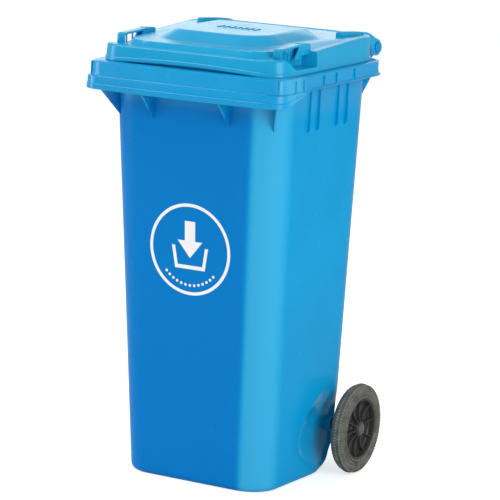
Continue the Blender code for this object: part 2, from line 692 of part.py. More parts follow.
def make_lid(material):
    """Lid with its skirt, dome, two grips and two hinge knuckles: one moulding."""
    seat = [
        ring(lid_plan(2 * LID_CORE_INSET), RIM_HEIGHT),
        ring(lid_plan(LID_CORE_INSET), skirt_edge),
        ring(lid_plan(-LID_LIP_PROUD), skirt_edge),
        ring(lid_plan(-LID_LIP_PROUD), lambda x, y: skirt_edge(x, y) + LID_LIP_HEIGHT),
        ring(lid_plan(0.0), lambda x, y: skirt_edge(x, y) + LID_LIP_HEIGHT + EDGE_CHAMFER),
    ]
    lid = add_object("lid", loft(seat + lid_surface(0.0)), material)
    combine_both(lid, scoop_cutter(0.0), "DIFFERENCE")

    # Knuckles that reach back over the ears to the hinge axis
    knuckle = []
    for step in range(ARC_STEPS + 1):
        angle = math.radians(lerp(KNUCKLE_ARC[0], KNUCKLE_ARC[1], step / ARC_STEPS))
        y = HINGE_Y + KNUCKLE_RADIUS * math.cos(angle)
        knuckle.append((y, HINGE_Z + KNUCKLE_RADIUS * math.sin(angle)))
    crown = lid_edge(0.0, LID_REAR) - KNUCKLE_CROWN
    root_y = LID_REAR - KNUCKLE_ROOT
    knuckle.append(((LID_REAR + HINGE_Y) / 2, (crown + HINGE_Z + KNUCKLE_RADIUS) / 2))
    knuckle.append((LID_REAR, crown))
    knuckle.append((root_y, lid_edge(0.0, root_y) + EDGE_ROLL))
    knuckle.append((root_y, HINGE_Z))
    combine_both(lid, plate(knuckle, KNUCKLE_X, KNUCKLE_X + KNUCKLE_THICKNESS), "UNION")
    pin_hole = rod(
        (EAR_X, HINGE_Y, HINGE_Z),
        (KNUCKLE_X + KNUCKLE_THICKNESS + EAR_THICKNESS, HINGE_Y, HINGE_Z),
        PIN_RADIUS + PIN_CLEARANCE,
    )
    combine_both(lid, pin_hole, "DIFFERENCE")

    # Grip bars: a bar from the front post back to a block on the border, on three posts
    bar_side = GRIP_BAR_WIDTH / 2
    block_front = SCOOP_REAR - GRIP_BLOCK_REACH
    bar_rear = block_front + GRIP_BLOCK_REACH / 2
    block_rear = block_front + GRIP_BLOCK_LENGTH
    bar = plate(
        [
            (GRIP_FRONT_Y, grip_line(GRIP_FRONT_Y) - GRIP_BAR_THICKNESS),
            (bar_rear, grip_line(block_front) - GRIP_BAR_THICKNESS),
            (bar_rear, grip_line(block_front)),
            (GRIP_FRONT_Y, grip_line(GRIP_FRONT_Y)),
        ],
        GRIP_BAR_X - bar_side,
        GRIP_BAR_X + bar_side,
    )
    combine_both(lid, bar, "UNION")
    rear_block = plate(
        [
            (block_front, lid_edge(0.0, block_front) - LID_WALL / 2),
            (block_rear, lid_edge(0.0, block_rear) - LID_WALL / 2),
            (block_rear, grip_line(block_rear) - GRIP_BLOCK_FALL),
            (block_front, grip_line(block_front) + OVERLAP),
        ],
        GRIP_BAR_X - GRIP_BLOCK_WIDTH / 2,
        GRIP_BAR_X + GRIP_BLOCK_WIDTH / 2,
    )
    combine_both(lid, rear_block, "UNION")
    floor_z = rim_top(0.0, SCOOP_FRONT) + SCOOP_FLOOR - LID_WALL / 2
    for offset in GRIP_POSTS:
        y = GRIP_FRONT_Y + offset
        post = block(
            (GRIP_BAR_X - bar_side / 2, y, floor_z),
            (GRIP_BAR_X + bar_side / 2, y + GRIP_POST_THICKNESS, grip_line(y) - GRIP_BAR_THICKNESS / 2),
        )
        combine_both(lid, post, "UNION")

    # The hollow under the lid, which follows its skin and stays clear of the scoops
    inside = [
        ring(lid_plan(LID_WALL), RIM_HEIGHT - CUT_PAST),
        ring(lid_plan(LID_WALL), lambda x, y: rim_top(x, y) + LID_LIP_HEIGHT + LID_ARCH),
    ]
    hollow = add_object("hollow", loft(inside + lid_surface(LID_WALL)), None)
    combine_both(hollow, scoop_cutter(LID_WALL), "DIFFERENCE")
    combine(lid, to_bmesh(hollow), "DIFFERENCE")
    lid.data.transform(Matrix.Translation((0.0, -HINGE_Y, -HINGE_Z)))
    lid.location = (0.0, HINGE_Y, HINGE_Z)
    return lid


def make_pair(name, bm, material, origin, smooth=35):
    """A piece at the right, seen at +X, and its mirror image at the left."""
    other = mirrored(bm)
    right = add_object(name + "_right", bm, material, origin, smooth)
    left = add_object(name + "_left", other, material, (-origin[0], origin[1], origin[2]), smooth)
    return right, left


def make_hinge_pins(material):
    """Headed pins pushed in from outside, through a knuckle into an ear."""
    head_x = KNUCKLE_X + KNUCKLE_THICKNESS + FIT_GAP
    tip_x = EAR_X + EAR_THICKNESS - PIN_BITE
    profile = [
        (tip_x, PIN_RADIUS - EDGE_CHAMFER),
        (tip_x + EDGE_CHAMFER, PIN_RADIUS),
        (head_x, PIN_RADIUS),
        (head_x, PIN_HEAD_RADIUS),
        (head_x + PIN_HEAD_THICKNESS - PIN_HEAD_BEVEL, PIN_HEAD_RADIUS),
        (head_x + PIN_HEAD_THICKNESS, PIN_HEAD_RADIUS - PIN_HEAD_BEVEL),
    ]
    pin = solid_turned(profile, (0.0, HINGE_Y, HINGE_Z), ROUND_STEPS)
    make_pair("hinge_pin", pin, material, (head_x, HINGE_Y, HINGE_Z))


def solid_turned(profile, centre, steps):
    """A turned solid without a hole: rings of the profile's points along X, capped at both ends."""
    rings = []
    for along, radius in profile:
        points = []
        for step in range(steps):
            angle = 2 * math.pi * step / steps
            spot = Vector((along, radius * math.cos(angle), radius * math.sin(angle)))
            points.append(Vector(centre) + spot)
        rings.append(points)
    return loft(rings)


def make_axle(material):
    """Straight steel axle with a groove near each end for the lock pins, and chamfered ends."""
    groove_low = GROOVE_X - GROOVE_WIDTH / 2
    groove_high = GROOVE_X + GROOVE_WIDTH / 2
    half = [
        (groove_low, AXLE_RADIUS),
        (groove_low, AXLE_RADIUS - GROOVE_DEPTH),
        (groove_high, AXLE_RADIUS - GROOVE_DEPTH),
        (groove_high, AXLE_RADIUS),
        (AXLE_END_X - AXLE_CHAMFER, AXLE_RADIUS),
        (AXLE_END_X, AXLE_RADIUS - AXLE_CHAMFER),
    ]
    profile = [(-along, radius) for along, radius in reversed(half)] + half
    centre = (0.0, AXLE_Y, AXLE_Z)
    add_object("axle", solid_turned(profile, centre, ROUND_STEPS), material, centre, 35)


def make_sleeves(material):
    """Plastic tubes that keep the wheels off the tub, and the steel washers beyond them."""
    centre = (0.0, AXLE_Y, AXLE_Z)
    washer_x = WHEEL_INNER_X - FIT_GAP - WASHER_THICKNESS
    start = PAD_FACE_X + FIT_GAP
    end = washer_x - FIT_GAP
    bore = BORE_RADIUS
    tube = [(start, bore), (start, SLEEVE_RADIUS), (end, SLEEVE_RADIUS), (end, bore)]
    sleeve = turned(tube, centre, ROUND_STEPS)
    make_pair("axle_sleeve", sleeve, material["sleeve"], (start, AXLE_Y, AXLE_Z))
    high = washer_x + WASHER_THICKNESS
    disc = [(washer_x, bore), (washer_x, WASHER_RADIUS), (high, WASHER_RADIUS), (high, bore)]
    washer = turned(disc, centre, ROUND_STEPS)
    make_pair("axle_washer", washer, material["steel"], (washer_x, AXLE_Y, AXLE_Z))


def make_wheels(material):
    """Moulded rim with a web, ten spokes that dip between hub and ring, and the tyre around it."""
    centre = (0.0, AXLE_Y, AXLE_Z)
    web_x = WHEEL_INNER_X + RIM_WEB_INSET
    ring_low = WHEEL_INNER_X + RIM_INNER_INSET
    ring_high = WHEEL_OUTER_X - RIM_OUTER_INSET
    outer = TYRE_BORE - FIT_GAP
    inner = outer - RIM_WALL
    boss_end = WHEEL_OUTER_X - CAP_HEIGHT - FIT_GAP
    profile = [
        (WHEEL_INNER_X, BORE_RADIUS),
        (WHEEL_INNER_X, BOSS_RADIUS),
        (web_x, BOSS_RADIUS + BOSS_FLARE),
        (web_x, inner),
        (ring_low, inner),
        (ring_low, outer),
        (ring_high, outer),
        (ring_high, inner),
        (web_x + RIM_WEB, inner),
        (web_x + RIM_WEB, BOSS_RADIUS + BOSS_FLARE),
        (boss_end, BOSS_RADIUS),
        (boss_end, BORE_RADIUS),
    ]
    rim = add_object("rim", turned(profile, centre, WHEEL_STEPS), None)
    root = BOSS_RADIUS - BOSS_FLARE
    tip = inner + RIM_WALL / 2
    spoke_profile = [(web_x + RIM_WEB / 2, tip), (web_x + RIM_WEB / 2, root)]
    for step in range(SPOKE_STEPS + 1):
        share = step / SPOKE_STEPS
        dip = SPOKE_INSET + SPOKE_DIP * 4 * share * (1 - share)
        spoke_profile.append((lerp(boss_end, ring_high, share) - dip, lerp(root, tip, share)))
    for index in range(SPOKE_COUNT):
        angle = math.radians(SPOKE_START + 360 * index / SPOKE_COUNT)
        faces = []
        for side in (-SPOKE_THICKNESS / 2, SPOKE_THICKNESS / 2):
            faces.append([Vector((x, side, radius)) for x, radius in spoke_profile])
        spoke = loft(faces)
        bmesh.ops.rotate(spoke, verts=spoke.verts, matrix=Matrix.Rotation(angle, 3, "X"))
        bmesh.ops.translate(spoke, verts=spoke.verts, vec=centre)
        combine(rim, spoke, "UNION")
    # Tower for the lock pin and its spring, and the pocket down into the axle's bore
    tower_side = LOCK_PIN_RADIUS + LOCK_TOWER_WALL
    tower_end = min(GROOVE_X + tower_side, boss_end - EDGE_CHAMFER)
    tower = block(
        (GROOVE_X - tower_side, AXLE_Y - tower_side, AXLE_Z + BOSS_RADIUS - LOCK_TOWER_WALL),
        (tower_end, AXLE_Y + tower_side, AXLE_Z + POCKET_TOP + LOCK_TOWER_WALL),
    )
    combine(rim, tower, "UNION")
    pocket = rod(
        (GROOVE_X, AXLE_Y, AXLE_Z),
        (GROOVE_X, AXLE_Y, AXLE_Z + POCKET_TOP),
        LOCK_PIN_RADIUS + FIT_GAP,
        SMALL_STEPS,
    )
    combine(rim, pocket, "DIFFERENCE")
    bm = to_bmesh(rim)
    make_pair("wheel_rim", bm, material["rim"], (WHEEL_INNER_X, AXLE_Y, AXLE_Z))

    shoulder = TYRE_SHOULDER
    low, high = WHEEL_INNER_X, WHEEL_OUTER_X
    tyre_profile = [
        (low + TYRE_BEAD_DEPTH, TYRE_BORE),
        (low, TYRE_BORE + TYRE_BEAD_HEIGHT),
        (low, TYRE_RADIUS - shoulder - TYRE_BEAD_HEIGHT),
        (low + TYRE_BULGE, TYRE_RADIUS - TYRE_BULGE_DROP),
        (low + shoulder, TYRE_RADIUS),
        (high - shoulder, TYRE_RADIUS),
        (high - TYRE_BULGE, TYRE_RADIUS - TYRE_BULGE_DROP),
        (high, TYRE_RADIUS - shoulder - TYRE_BEAD_HEIGHT),
        (high, TYRE_BORE + TYRE_BEAD_HEIGHT),
        (high - TYRE_BEAD_DEPTH, TYRE_BORE),
    ]
    tyre = turned(tyre_profile, centre, WHEEL_STEPS)
    make_pair("tyre", tyre, material["tyre"], (low, AXLE_Y, AXLE_Z))


def make_locks(material):
    """In each hub: a cap over the bore, a lock pin in the axle's groove, and the spring above it."""
    centre = (0.0, AXLE_Y, AXLE_Z)
    face = WHEEL_OUTER_X - CAP_HEIGHT
    plug_radius = BORE_RADIUS - FIT_GAP
    profile = [
        (AXLE_END_X + FIT_GAP, plug_radius),
        (face, plug_radius),
        (face, CAP_RADIUS),
    ]
    for out, across in CAP_DOME:
        profile.append((face + CAP_HEIGHT * out, CAP_RADIUS * across))
    cap = solid_turned(profile, centre, ROUND_STEPS)
    make_pair("hub_cap", cap, material["cap"], (face, AXLE_Y, AXLE_Z))

    pin = rod(
        (GROOVE_X, AXLE_Y, AXLE_Z + PIN_TIP),
        (GROOVE_X, AXLE_Y, AXLE_Z + PIN_TIP + LOCK_PIN_LENGTH),
        LOCK_PIN_RADIUS,
        SMALL_STEPS,
    )
    make_pair("lock_pin", pin, material["steel"], (GROOVE_X, AXLE_Y, AXLE_Z + PIN_TIP))

    coil_radius = LOCK_PIN_RADIUS - LOCK_SPRING_WIRE - FIT_GAP
    rings = []
    steps = LOCK_SPRING_TURNS * COIL_STEPS
    rise = LOCK_SPRING_LENGTH - 2 * LOCK_SPRING_WIRE
    for step in range(steps + 1):
        angle = 2 * math.pi * step / COIL_STEPS
        out = Vector((math.cos(angle), math.sin(angle), 0.0))
        up = AXLE_Z + SPRING_FOOT + LOCK_SPRING_WIRE + rise * step / steps
        middle = Vector((GROOVE_X, AXLE_Y, up))
        points = []
        for corner in range(WIRE_STEPS):
            turn = 2 * math.pi * corner / WIRE_STEPS
            across = coil_radius + LOCK_SPRING_WIRE * math.cos(turn)
            points.append(middle + out * across + Vector((0, 0, LOCK_SPRING_WIRE * math.sin(turn))))
        rings.append(points)
    make_pair("lock_spring", loft(rings), material["steel"], (GROOVE_X, AXLE_Y, AXLE_Z + SPRING_FOOT))


def main():
    for item in list(bpy.data.objects):
        bpy.data.objects.remove(item)
    blue = make_material("blue_plastic", BLUE, 0.38)
    lid_blue = make_material("blue_lid_plastic", BLUE, 0.35)
    pins = make_material("pin_plastic", BLUE, 0.45)
    hardware = {
        "steel": make_material("zinc_steel", STEEL, 0.35, 1.0),
        "sleeve": make_material("sleeve_plastic", DARK_GREY, 0.5),
        "rim": make_material("rim_plastic", DARK_GREY, 0.45),
        "cap": make_material("cap_plastic", RUBBER_GREY, 0.4),
        "tyre": make_material("tyre_rubber", RUBBER_GREY, 0.75),
    }
    make_body(blue)
    make_lid(lid_blue)
    make_hinge_pins(pins)
    make_axle(hardware["steel"])
    make_sleeves(hardware)
    make_wheels(hardware)
    make_locks(hardware)


main()
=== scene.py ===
from math import copysign, cos, hypot, pi, radians, sin, sqrt

import bmesh
import bpy
from mathutils import Matrix, Vector
from mathutils.geometry import delaunay_2d_cdt


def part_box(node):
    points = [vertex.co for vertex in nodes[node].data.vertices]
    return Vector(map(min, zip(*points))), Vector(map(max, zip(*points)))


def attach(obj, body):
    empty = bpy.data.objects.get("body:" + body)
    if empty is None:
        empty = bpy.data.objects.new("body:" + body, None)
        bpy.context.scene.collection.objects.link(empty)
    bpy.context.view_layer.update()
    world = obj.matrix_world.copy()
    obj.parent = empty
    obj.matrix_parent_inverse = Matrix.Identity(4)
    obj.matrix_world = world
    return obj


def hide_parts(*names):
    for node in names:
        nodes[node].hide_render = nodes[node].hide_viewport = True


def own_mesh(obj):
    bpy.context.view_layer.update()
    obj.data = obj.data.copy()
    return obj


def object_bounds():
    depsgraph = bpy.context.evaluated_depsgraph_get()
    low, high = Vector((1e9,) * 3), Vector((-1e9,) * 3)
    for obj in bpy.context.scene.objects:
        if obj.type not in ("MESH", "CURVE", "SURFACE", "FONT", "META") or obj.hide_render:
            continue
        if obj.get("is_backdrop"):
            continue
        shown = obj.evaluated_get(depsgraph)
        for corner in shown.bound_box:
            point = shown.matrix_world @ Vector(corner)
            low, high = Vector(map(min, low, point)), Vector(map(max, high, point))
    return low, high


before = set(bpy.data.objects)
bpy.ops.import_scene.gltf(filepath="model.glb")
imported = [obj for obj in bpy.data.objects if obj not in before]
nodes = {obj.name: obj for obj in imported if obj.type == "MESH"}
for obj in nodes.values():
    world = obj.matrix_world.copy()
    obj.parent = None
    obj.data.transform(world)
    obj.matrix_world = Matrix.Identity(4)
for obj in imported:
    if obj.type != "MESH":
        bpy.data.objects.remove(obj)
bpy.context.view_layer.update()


# ---- Studio: a pale floor, a white surround, soft lamps and the camera
# The floor is pale card that keeps the bin's shadow. Tall soft lamps stand off its right front corner
# and its left side, a wide one hangs overhead and a low wide one behind gleams on its flat tops.
def preset(node, values):
    """Sets a node's inputs, given by name or number."""
    for socket, value in values.items():
        node.inputs[socket].default_value = value
    return node


def added(tree, kind, values=None, **settings):
    """A new node with its settings and input values; a kind without "Node" in it is a shader's."""
    node = tree.nodes.new(kind if "Node" in kind else "ShaderNode" + kind)
    for name, setting in settings.items():
        setattr(node, name, setting)
    return preset(node, values or {})


def link(tree, *chains):
    """Links nodes along chains: a node, its output, the next one's input, that node, and so on."""
    for chain in chains:
        for start in range(0, len(chain) - 1, 3):
            source, output, socket, target = chain[start:start + 4]
            tree.links.new(source.outputs[output], target.inputs[socket])


def material_nodes(name, values):
    """A new material, its node tree, and its shader with some inputs set."""
    material = bpy.data.materials.new(name)
    material.use_nodes = True
    shader = material.node_tree.nodes["Principled BSDF"]
    return material, material.node_tree, preset(shader, values)


def scaled(tree, source, output, factor, offset):
    """A node's output times a factor, plus an offset."""
    node = added(tree, "Math", {1: factor, 2: offset}, operation="MULTIPLY_ADD")
    link(tree, (source, output, 0, node))
    return node


def camera_glow(tree, target, socket, factor, offset):
    """Drives an input with the offset, plus the factor for rays straight from the camera."""
    glow = scaled(tree, added(tree, "LightPath"), "Is Camera Ray", factor, offset)
    link(tree, (glow, 0, socket, target))


def placed(name, data):
    """A new object in the scene."""
    item = bpy.data.objects.new(name, data)
    bpy.context.scene.collection.objects.link(item)
    return item


WORLD_FILL = 0.53
FLOOR_GLOW = 0.6
FLOOR_COLOUR = (0.8, 0.8, 0.8, 1.0)
PURE_WHITE = (1.0, 1.0, 1.0, 1.0)
FLOOR_SIZE = 40.0

world = bpy.data.worlds.new("studio")
bpy.context.scene.world = world
world.use_nodes = True
surround = preset(world.node_tree.nodes["Background"], {"Color": PURE_WHITE})
camera_glow(world.node_tree, surround, "Strength", 1.0 - WORLD_FILL, WORLD_FILL)

floor_card, card_tree, card = material_nodes("floor_card", {
    "Base Color": FLOOR_COLOUR, "Roughness": 1.0, "Specular IOR Level": 0.0, "Emission Color": PURE_WHITE,
})
camera_glow(card_tree, card, "Emission Strength", FLOOR_GLOW, 0.0)

floor_mesh = bpy.data.meshes.new("floor")
half = FLOOR_SIZE / 2
corners = [(-half, -half, 0.0), (half, -half, 0.0), (half, half, 0.0), (-half, half, 0.0)]
floor_mesh.from_pydata(corners, [], [(0, 1, 2, 3)])
floor_mesh.materials.append(floor_card)
floor = placed("floor", floor_mesh)
floor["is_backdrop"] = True


def soft_lamp(name, place, target, width, height, power, colour=(1.0, 1.0, 1.0)):
    lamp = bpy.data.lights.new(name, "AREA")
    lamp.shape = "RECTANGLE"
    lamp.size, lamp.size_y = width, height
    lamp.energy = power
    lamp.color = colour
    stand = placed(name, lamp)
    stand.location = place
    stand.rotation_euler = (Vector(target) - Vector(place)).to_track_quat("-Z", "Y").to_euler()


soft_lamp("corner_lamp", (3.05, -1.35, 1.4), (0.1, -0.1, 0.45), 1.8, 2.2, 58.0, (1.0, 1.0, 0.96))
soft_lamp("left_lamp", (-3.1, -1.9, 1.2), (0.0, -0.1, 0.45), 1.4, 2.2, 44.0)
soft_lamp("top_lamp", (-1.75, -0.55, 3.4), (0.0, -0.1, 0.8), 1.5, 1.5, 36.0)
soft_lamp("rear_lamp", (-1.9, 3.3, 1.9), (0.0, 0.0, 0.9), 3.4, 1.8, 18.0, (0.86, 1.0, 1.0))

CAMERA_AZIMUTH = 29.88
CAMERA_ELEVATION = 10.15
CAMERA_ROLL = 2.71
CAMERA_DISTANCE = 5.832
CAMERA_AIM = (0.0297, 0.0, 0.485)
CAMERA_LENS = 196.5

camera_data = bpy.data.cameras.new("camera")
camera_data.sensor_width = 36.0
camera_data.lens = CAMERA_LENS
camera_data.clip_end = 100.0
camera = placed("camera", camera_data)
swing, lift = radians(CAMERA_AZIMUTH), radians(CAMERA_ELEVATION)
back = Vector((sin(swing) * cos(lift), -cos(swing) * cos(lift), sin(lift)))
camera.location = Vector(CAMERA_AIM) + back * CAMERA_DISTANCE
camera.rotation_mode = "QUATERNION"
level = (-back).to_track_quat("-Z", "Y")
camera.rotation_quaternion = Matrix.Rotation(radians(CAMERA_ROLL), 3, back).to_quaternion() @ level
bpy.context.scene.camera = camera
bpy.context.scene.view_settings.view_transform = "Standard"


# ---- Tub: the blue polyethylene moulding that everything else hangs on
# Injection moulded in one shot with a 3.5 mm wall. It flares to the mouth, its lower sides are
# pressed in for the wheels, and its underside is raked up behind the base so that it can tilt.
RIM_HEIGHT = 0.887
RIM_SLOPE = 0.03
COLLAR_SIDE, COLLAR_FRONT, COLLAR_REAR = 0.24, -0.269, 0.198
COLLAR_RADII = (0.046, 0.06)
BAND_RADII = (0.036, 0.06)
BAND_FLARE = 0.0016
BAND_DEPTH, BAND_SIDE_DEPTH = 0.058, 0.03
BAND_TURN, BAND_TURN_LENGTH = 0.252, 0.112
LOWER_STEP_SHARE = 0.42
COLLAR_BOW = 0.006
STAND_BACK = 0.0045
MOUTH = (0.2139, -0.2273, 0.187, 0.0785)
BASE = (0.177, -0.16, 0.194, 0.068)
WALL = 0.0035
BASE_ROUND = 0.012
LIP = 0.01
RAKE = ((0.09, 0.0), (0.12, 0.0095), (0.137, 0.0192), (0.15, 0.04), (0.194, 0.088), (0.3, 0.204))
RAKE_FADE = 0.16
HOUSING_TOP, HOUSING_START = 0.22, -0.05
HOUSING_EDGE = (
    (0.26, 0.118), (0.15, 0.16), (0.115, 0.177), (0.08, 0.178), (0.045, 0.163), (0.012, 0.139),
    (-0.007, 0.112), (-0.013, 0.087), (-0.007, 0.066), (0.008, 0.053), (0.059, 0.027), (0.085, 0.0135),
    (0.06, -0.01), (0.26, -0.01),
)
HOUSING_FLOOR = ((-0.013, 0.172), (0.151, 0.161), (0.172, 0.171))
HOUSING_SOFT = (0.012, 0.048)
FRONT_STEPS, CORNER_STEPS, SIDE_STEPS, REAR_STEPS = 8, 14, 44, 8


def lerp(start, end, share):
    return start + (end - start) * share


def half_plan(side, front, rear, radii, bow):
    """Right half of a rounded plan, from the middle of the front round to the middle of the rear."""
    front_radius, rear_radius = radii
    run = side - front_radius
    points = []
    for step in range(FRONT_STEPS):
        x = run * step / FRONT_STEPS
        points.append((x, front - bow * (1 - (x / run) ** 2)))
    for step in range(CORNER_STEPS + 1):
        turn = radians(lerp(-90, 0, step / CORNER_STEPS))
        points.append((run + front_radius * cos(turn), front + front_radius * (1 + sin(turn))))
    for step in range(1, SIDE_STEPS):
        points.append((side, lerp(front + front_radius, rear - rear_radius, step / SIDE_STEPS)))
    run = side - rear_radius
    for step in range(CORNER_STEPS + 1):
        turn = radians(90 * step / CORNER_STEPS)
        points.append((run + rear_radius * cos(turn), rear - rear_radius * (1 - sin(turn))))
    for step in range(1, REAR_STEPS + 1):
        points.append((run * (1 - step / REAR_STEPS), rear))
    return points


def whole_plan(side, front, rear, radii, bow=0.0):
    """Both halves of a plan, anticlockwise seen from above."""
    right = half_plan(side, front, rear, radii, bow)
    return right + [(-x, y) for x, y in reversed(right[1:-1])]


def inset_plan(size, radii, inset, bow=0.0):
    """A plan drawn in by an inset, from its half width, front and rear and its two corner radii."""
    side, front, rear = size
    return whole_plan(side - inset, front + inset, rear - inset, [radius - inset for radius in radii], bow)


def tub_size(z):
    """The tub's half width, front, rear and corner radius at a height."""
    return [lerp(low, high, z / RIM_HEIGHT) for low, high in zip(BASE, MOUTH)]


def tub_plan(z, inset=0.0):
    *size, radius = tub_size(z)
    return inset_plan(size, (radius, radius), inset)


def collar_plan(inset, radii=COLLAR_RADII):
    return inset_plan((COLLAR_SIDE, COLLAR_FRONT, COLLAR_REAR), radii, inset, COLLAR_BOW)


def rim_top(x, y):
    """Height of the collar's top, which rises a little to the rear."""
    return RIM_HEIGHT + RIM_SLOPE * (y - COLLAR_FRONT)


def collar_edge(x, y):
    """Height of the collar's lower edge: a deep band in front, a shallower one round the rest."""
    share = min(max((y + BAND_TURN) / BAND_TURN_LENGTH, 0.0), 1.0)
    return rim_top(x, y) - lerp(BAND_DEPTH, BAND_SIDE_DEPTH, share)


def collar_step(x, y):
    return max(rim_top(x, y) - BAND_SIDE_DEPTH, collar_edge(x, y) + STAND_BACK)


def lower_step(x, y):
    return lerp(collar_edge(x, y), collar_step(x, y), LOWER_STEP_SHARE)


def eased(low, high, value):
    share = min(max((value - low) / (high - low), 0.0), 1.0)
    return share * share * (3 - 2 * share)


def along_points(points, value):
    """Straight interpolation in a rising list of (value, result) pairs, flat beyond its ends."""
    if value <= points[0][0]:
        return points[0][1]
    for (a, low), (b, high) in zip(points, points[1:]):
        if value <= b:
            return lerp(low, high, (value - a) / (b - a))
    return points[-1][1]


def raked(x, y):
    """How far the underside is raked up above the ground."""
    return along_points(RAKE, y)


def depth_inside(y, z, loop):
    """Distance from a point to a closed loop, positive inside it."""
    best = 1.0
    inside = False
    for (ya, za), (yb, zb) in zip(loop, loop[1:] + loop[:1]):
        length = (yb - ya) ** 2 + (zb - za) ** 2
        share = min(max(((y - ya) * (yb - ya) + (z - za) * (zb - za)) / length, 0.0), 1.0)
        best = min(best, hypot(y - lerp(ya, yb, share), z - lerp(za, zb, share)))
        if (za > z) != (zb > z) and y < ya + (z - za) * (yb - ya) / (zb - za):
            inside = not inside
    return best if inside else -best


def pressed(x, y, z, skin=0.0):
    """A point of the tub's skin after the wheel housings are pressed in and the underside is raked."""
    if z < HOUSING_TOP and y > HOUSING_START:
        floor_x = along_points(HOUSING_FLOOR, y) - skin
        if abs(x) > floor_x:
            soft = lerp(*HOUSING_SOFT, eased(-0.02, 0.09, y))
            share = eased(-soft * 0.4, soft, depth_inside(y, z, HOUSING_EDGE))
            x = copysign(lerp(abs(x), floor_x, share), x)
    if z < RAKE_FADE:
        z += raked(x, y) * (1 - z / RAKE_FADE)
    return Vector((x, y, z))


def tub_wall(share, inset=0.0):
    """Points round the wall, at a share of the way from its rounded foot to the collar."""
    plan = tub_plan(lerp(BASE_ROUND, RIM_HEIGHT, share), inset)
    return [pressed(x, y, lerp(BASE_ROUND, rim_top(x, y) - WALL, share), inset) for x, y in plan]


def tub_foot(turn, inset=0.0):
    """Points round the foot's rounding, where the turn is 0 underneath and 90 at the wall."""
    radius = BASE_ROUND - inset
    drop = inset + radius * (1 - cos(radians(turn)))
    inwards = inset + radius * (1 - sin(radians(turn)))
    return [pressed(x, y, drop, inset) for x, y in tub_plan(drop, inwards)]


def lifted(plan, height, rise=0.0):
    """A plan's points at a height over (x, y), raised by an amount."""
    return [Vector((x, y, height(x, y) + rise)) for x, y in plan]


def ringed(plan, *rows):
    """Rings from rows of an inset of the plan, a height over (x, y) and a rise above it."""
    return [lifted(plan(inset), height, rise) for inset, height, rise in rows]


def skinned(rings, closed=False):
    """Quads between equal rings; an open row of rings gets a cap at each end."""
    bm = bmesh.new()
    rows = [[bm.verts.new(point) for point in points] for points in rings]
    for low, high in zip(rows, rows[1:] + (rows[:1] if closed else [])):
        for i in range(len(low)):
            j = (i + 1) % len(low)
            bm.faces.new((low[i], low[j], high[j], high[i]))
    if not closed:
        bm.faces.new(list(reversed(rows[0])))
        bm.faces.new(rows[-1])
    return bm


def gathered(parts):
    """One bmesh out of several, with every face pointing outwards."""
    whole = bmesh.new()
    for part in parts:
        bmesh.ops.recalc_face_normals(part, faces=part.faces)
        spare = bpy.data.meshes.new("spare")
        part.to_mesh(spare)
        part.free()
        whole.from_mesh(spare)
        bpy.data.meshes.remove(spare)
    return whole


def both_sides(bm):
    """A right-hand bmesh and its mirror image."""
    left = bm.copy()
    bmesh.ops.transform(left, matrix=Matrix.Scale(-1, 4, (1, 0, 0)), verts=left.verts)
    return [bm, left]


def made(name, bm, material, crease=35):
    """An object at the origin out of a bmesh, smooth except at edges sharper than the crease."""
    mesh = bpy.data.meshes.new(name)
    bm.to_mesh(mesh)
    bm.free()
    mesh.materials.append(material)
    mesh.shade_smooth()
    mesh.set_sharp_from_angle(angle=radians(crease))
    return placed(name, mesh)


def extruded(outline, axis, low, high):
    """A block between two places along an axis (0, 1 or 2), with its outline over the other two."""
    return skinned([[Vector((*spot[:axis], at, *spot[axis:])) for spot in outline] for at in (low, high)])


def box_between(low, high):
    plan = [(low[0], low[1]), (high[0], low[1]), (high[0], high[1]), (low[0], high[1])]
    return extruded(plan, 2, low[2], high[2])


def turned(profile, centre, steps):
    """A profile of (x, radius) points turned about the X axis through the centre."""
    rings = []
    for step in range(steps):
        turn = 2 * pi * step / steps
        rings.append([
            Vector(centre) + Vector((x, radius * cos(turn), radius * sin(turn)))
            for x, radius in profile
        ])
    return skinned(rings, closed=True)


AXIS_HAIR = 0.0001


def rod(start, end, radius, steps):
    """A round rod along the hinge's axis; its end faces stop a hair short of the axis."""
    profile = [(start, AXIS_HAIR), (start, radius), (end, radius), (end, AXIS_HAIR)]
    return turned(profile, (0.0, *HINGE), steps)


def arc(middle, radius, start, end, steps):
    """Points along an arc between two angles in degrees."""
    turns = [radians(lerp(start, end, step / steps)) for step in range(steps + 1)]
    return [(middle[0] + radius * cos(turn), middle[1] + radius * sin(turn)) for turn in turns]


def shaded(colour, factor):
    """A colour made lighter or darker, with full opacity."""
    return [min(part * factor, 1.0) for part in colour] + [1.0]


def noise(tree, scale, detail):
    return added(tree, "TexNoise", {"Scale": scale, "Detail": detail})


def colour_ramp(tree, stops, interpolation="LINEAR"):
    """A colour ramp with stops of a position and a colour."""
    node = added(tree, "ValToRGB")
    node.color_ramp.interpolation = interpolation
    elements = node.color_ramp.elements
    for element, (at, colour) in zip(elements[:], (stops[0], stops[-1])):
        element.position, element.color = at, colour
    for at, colour in stops[1:-1]:
        elements.new(at).color = colour
    return node


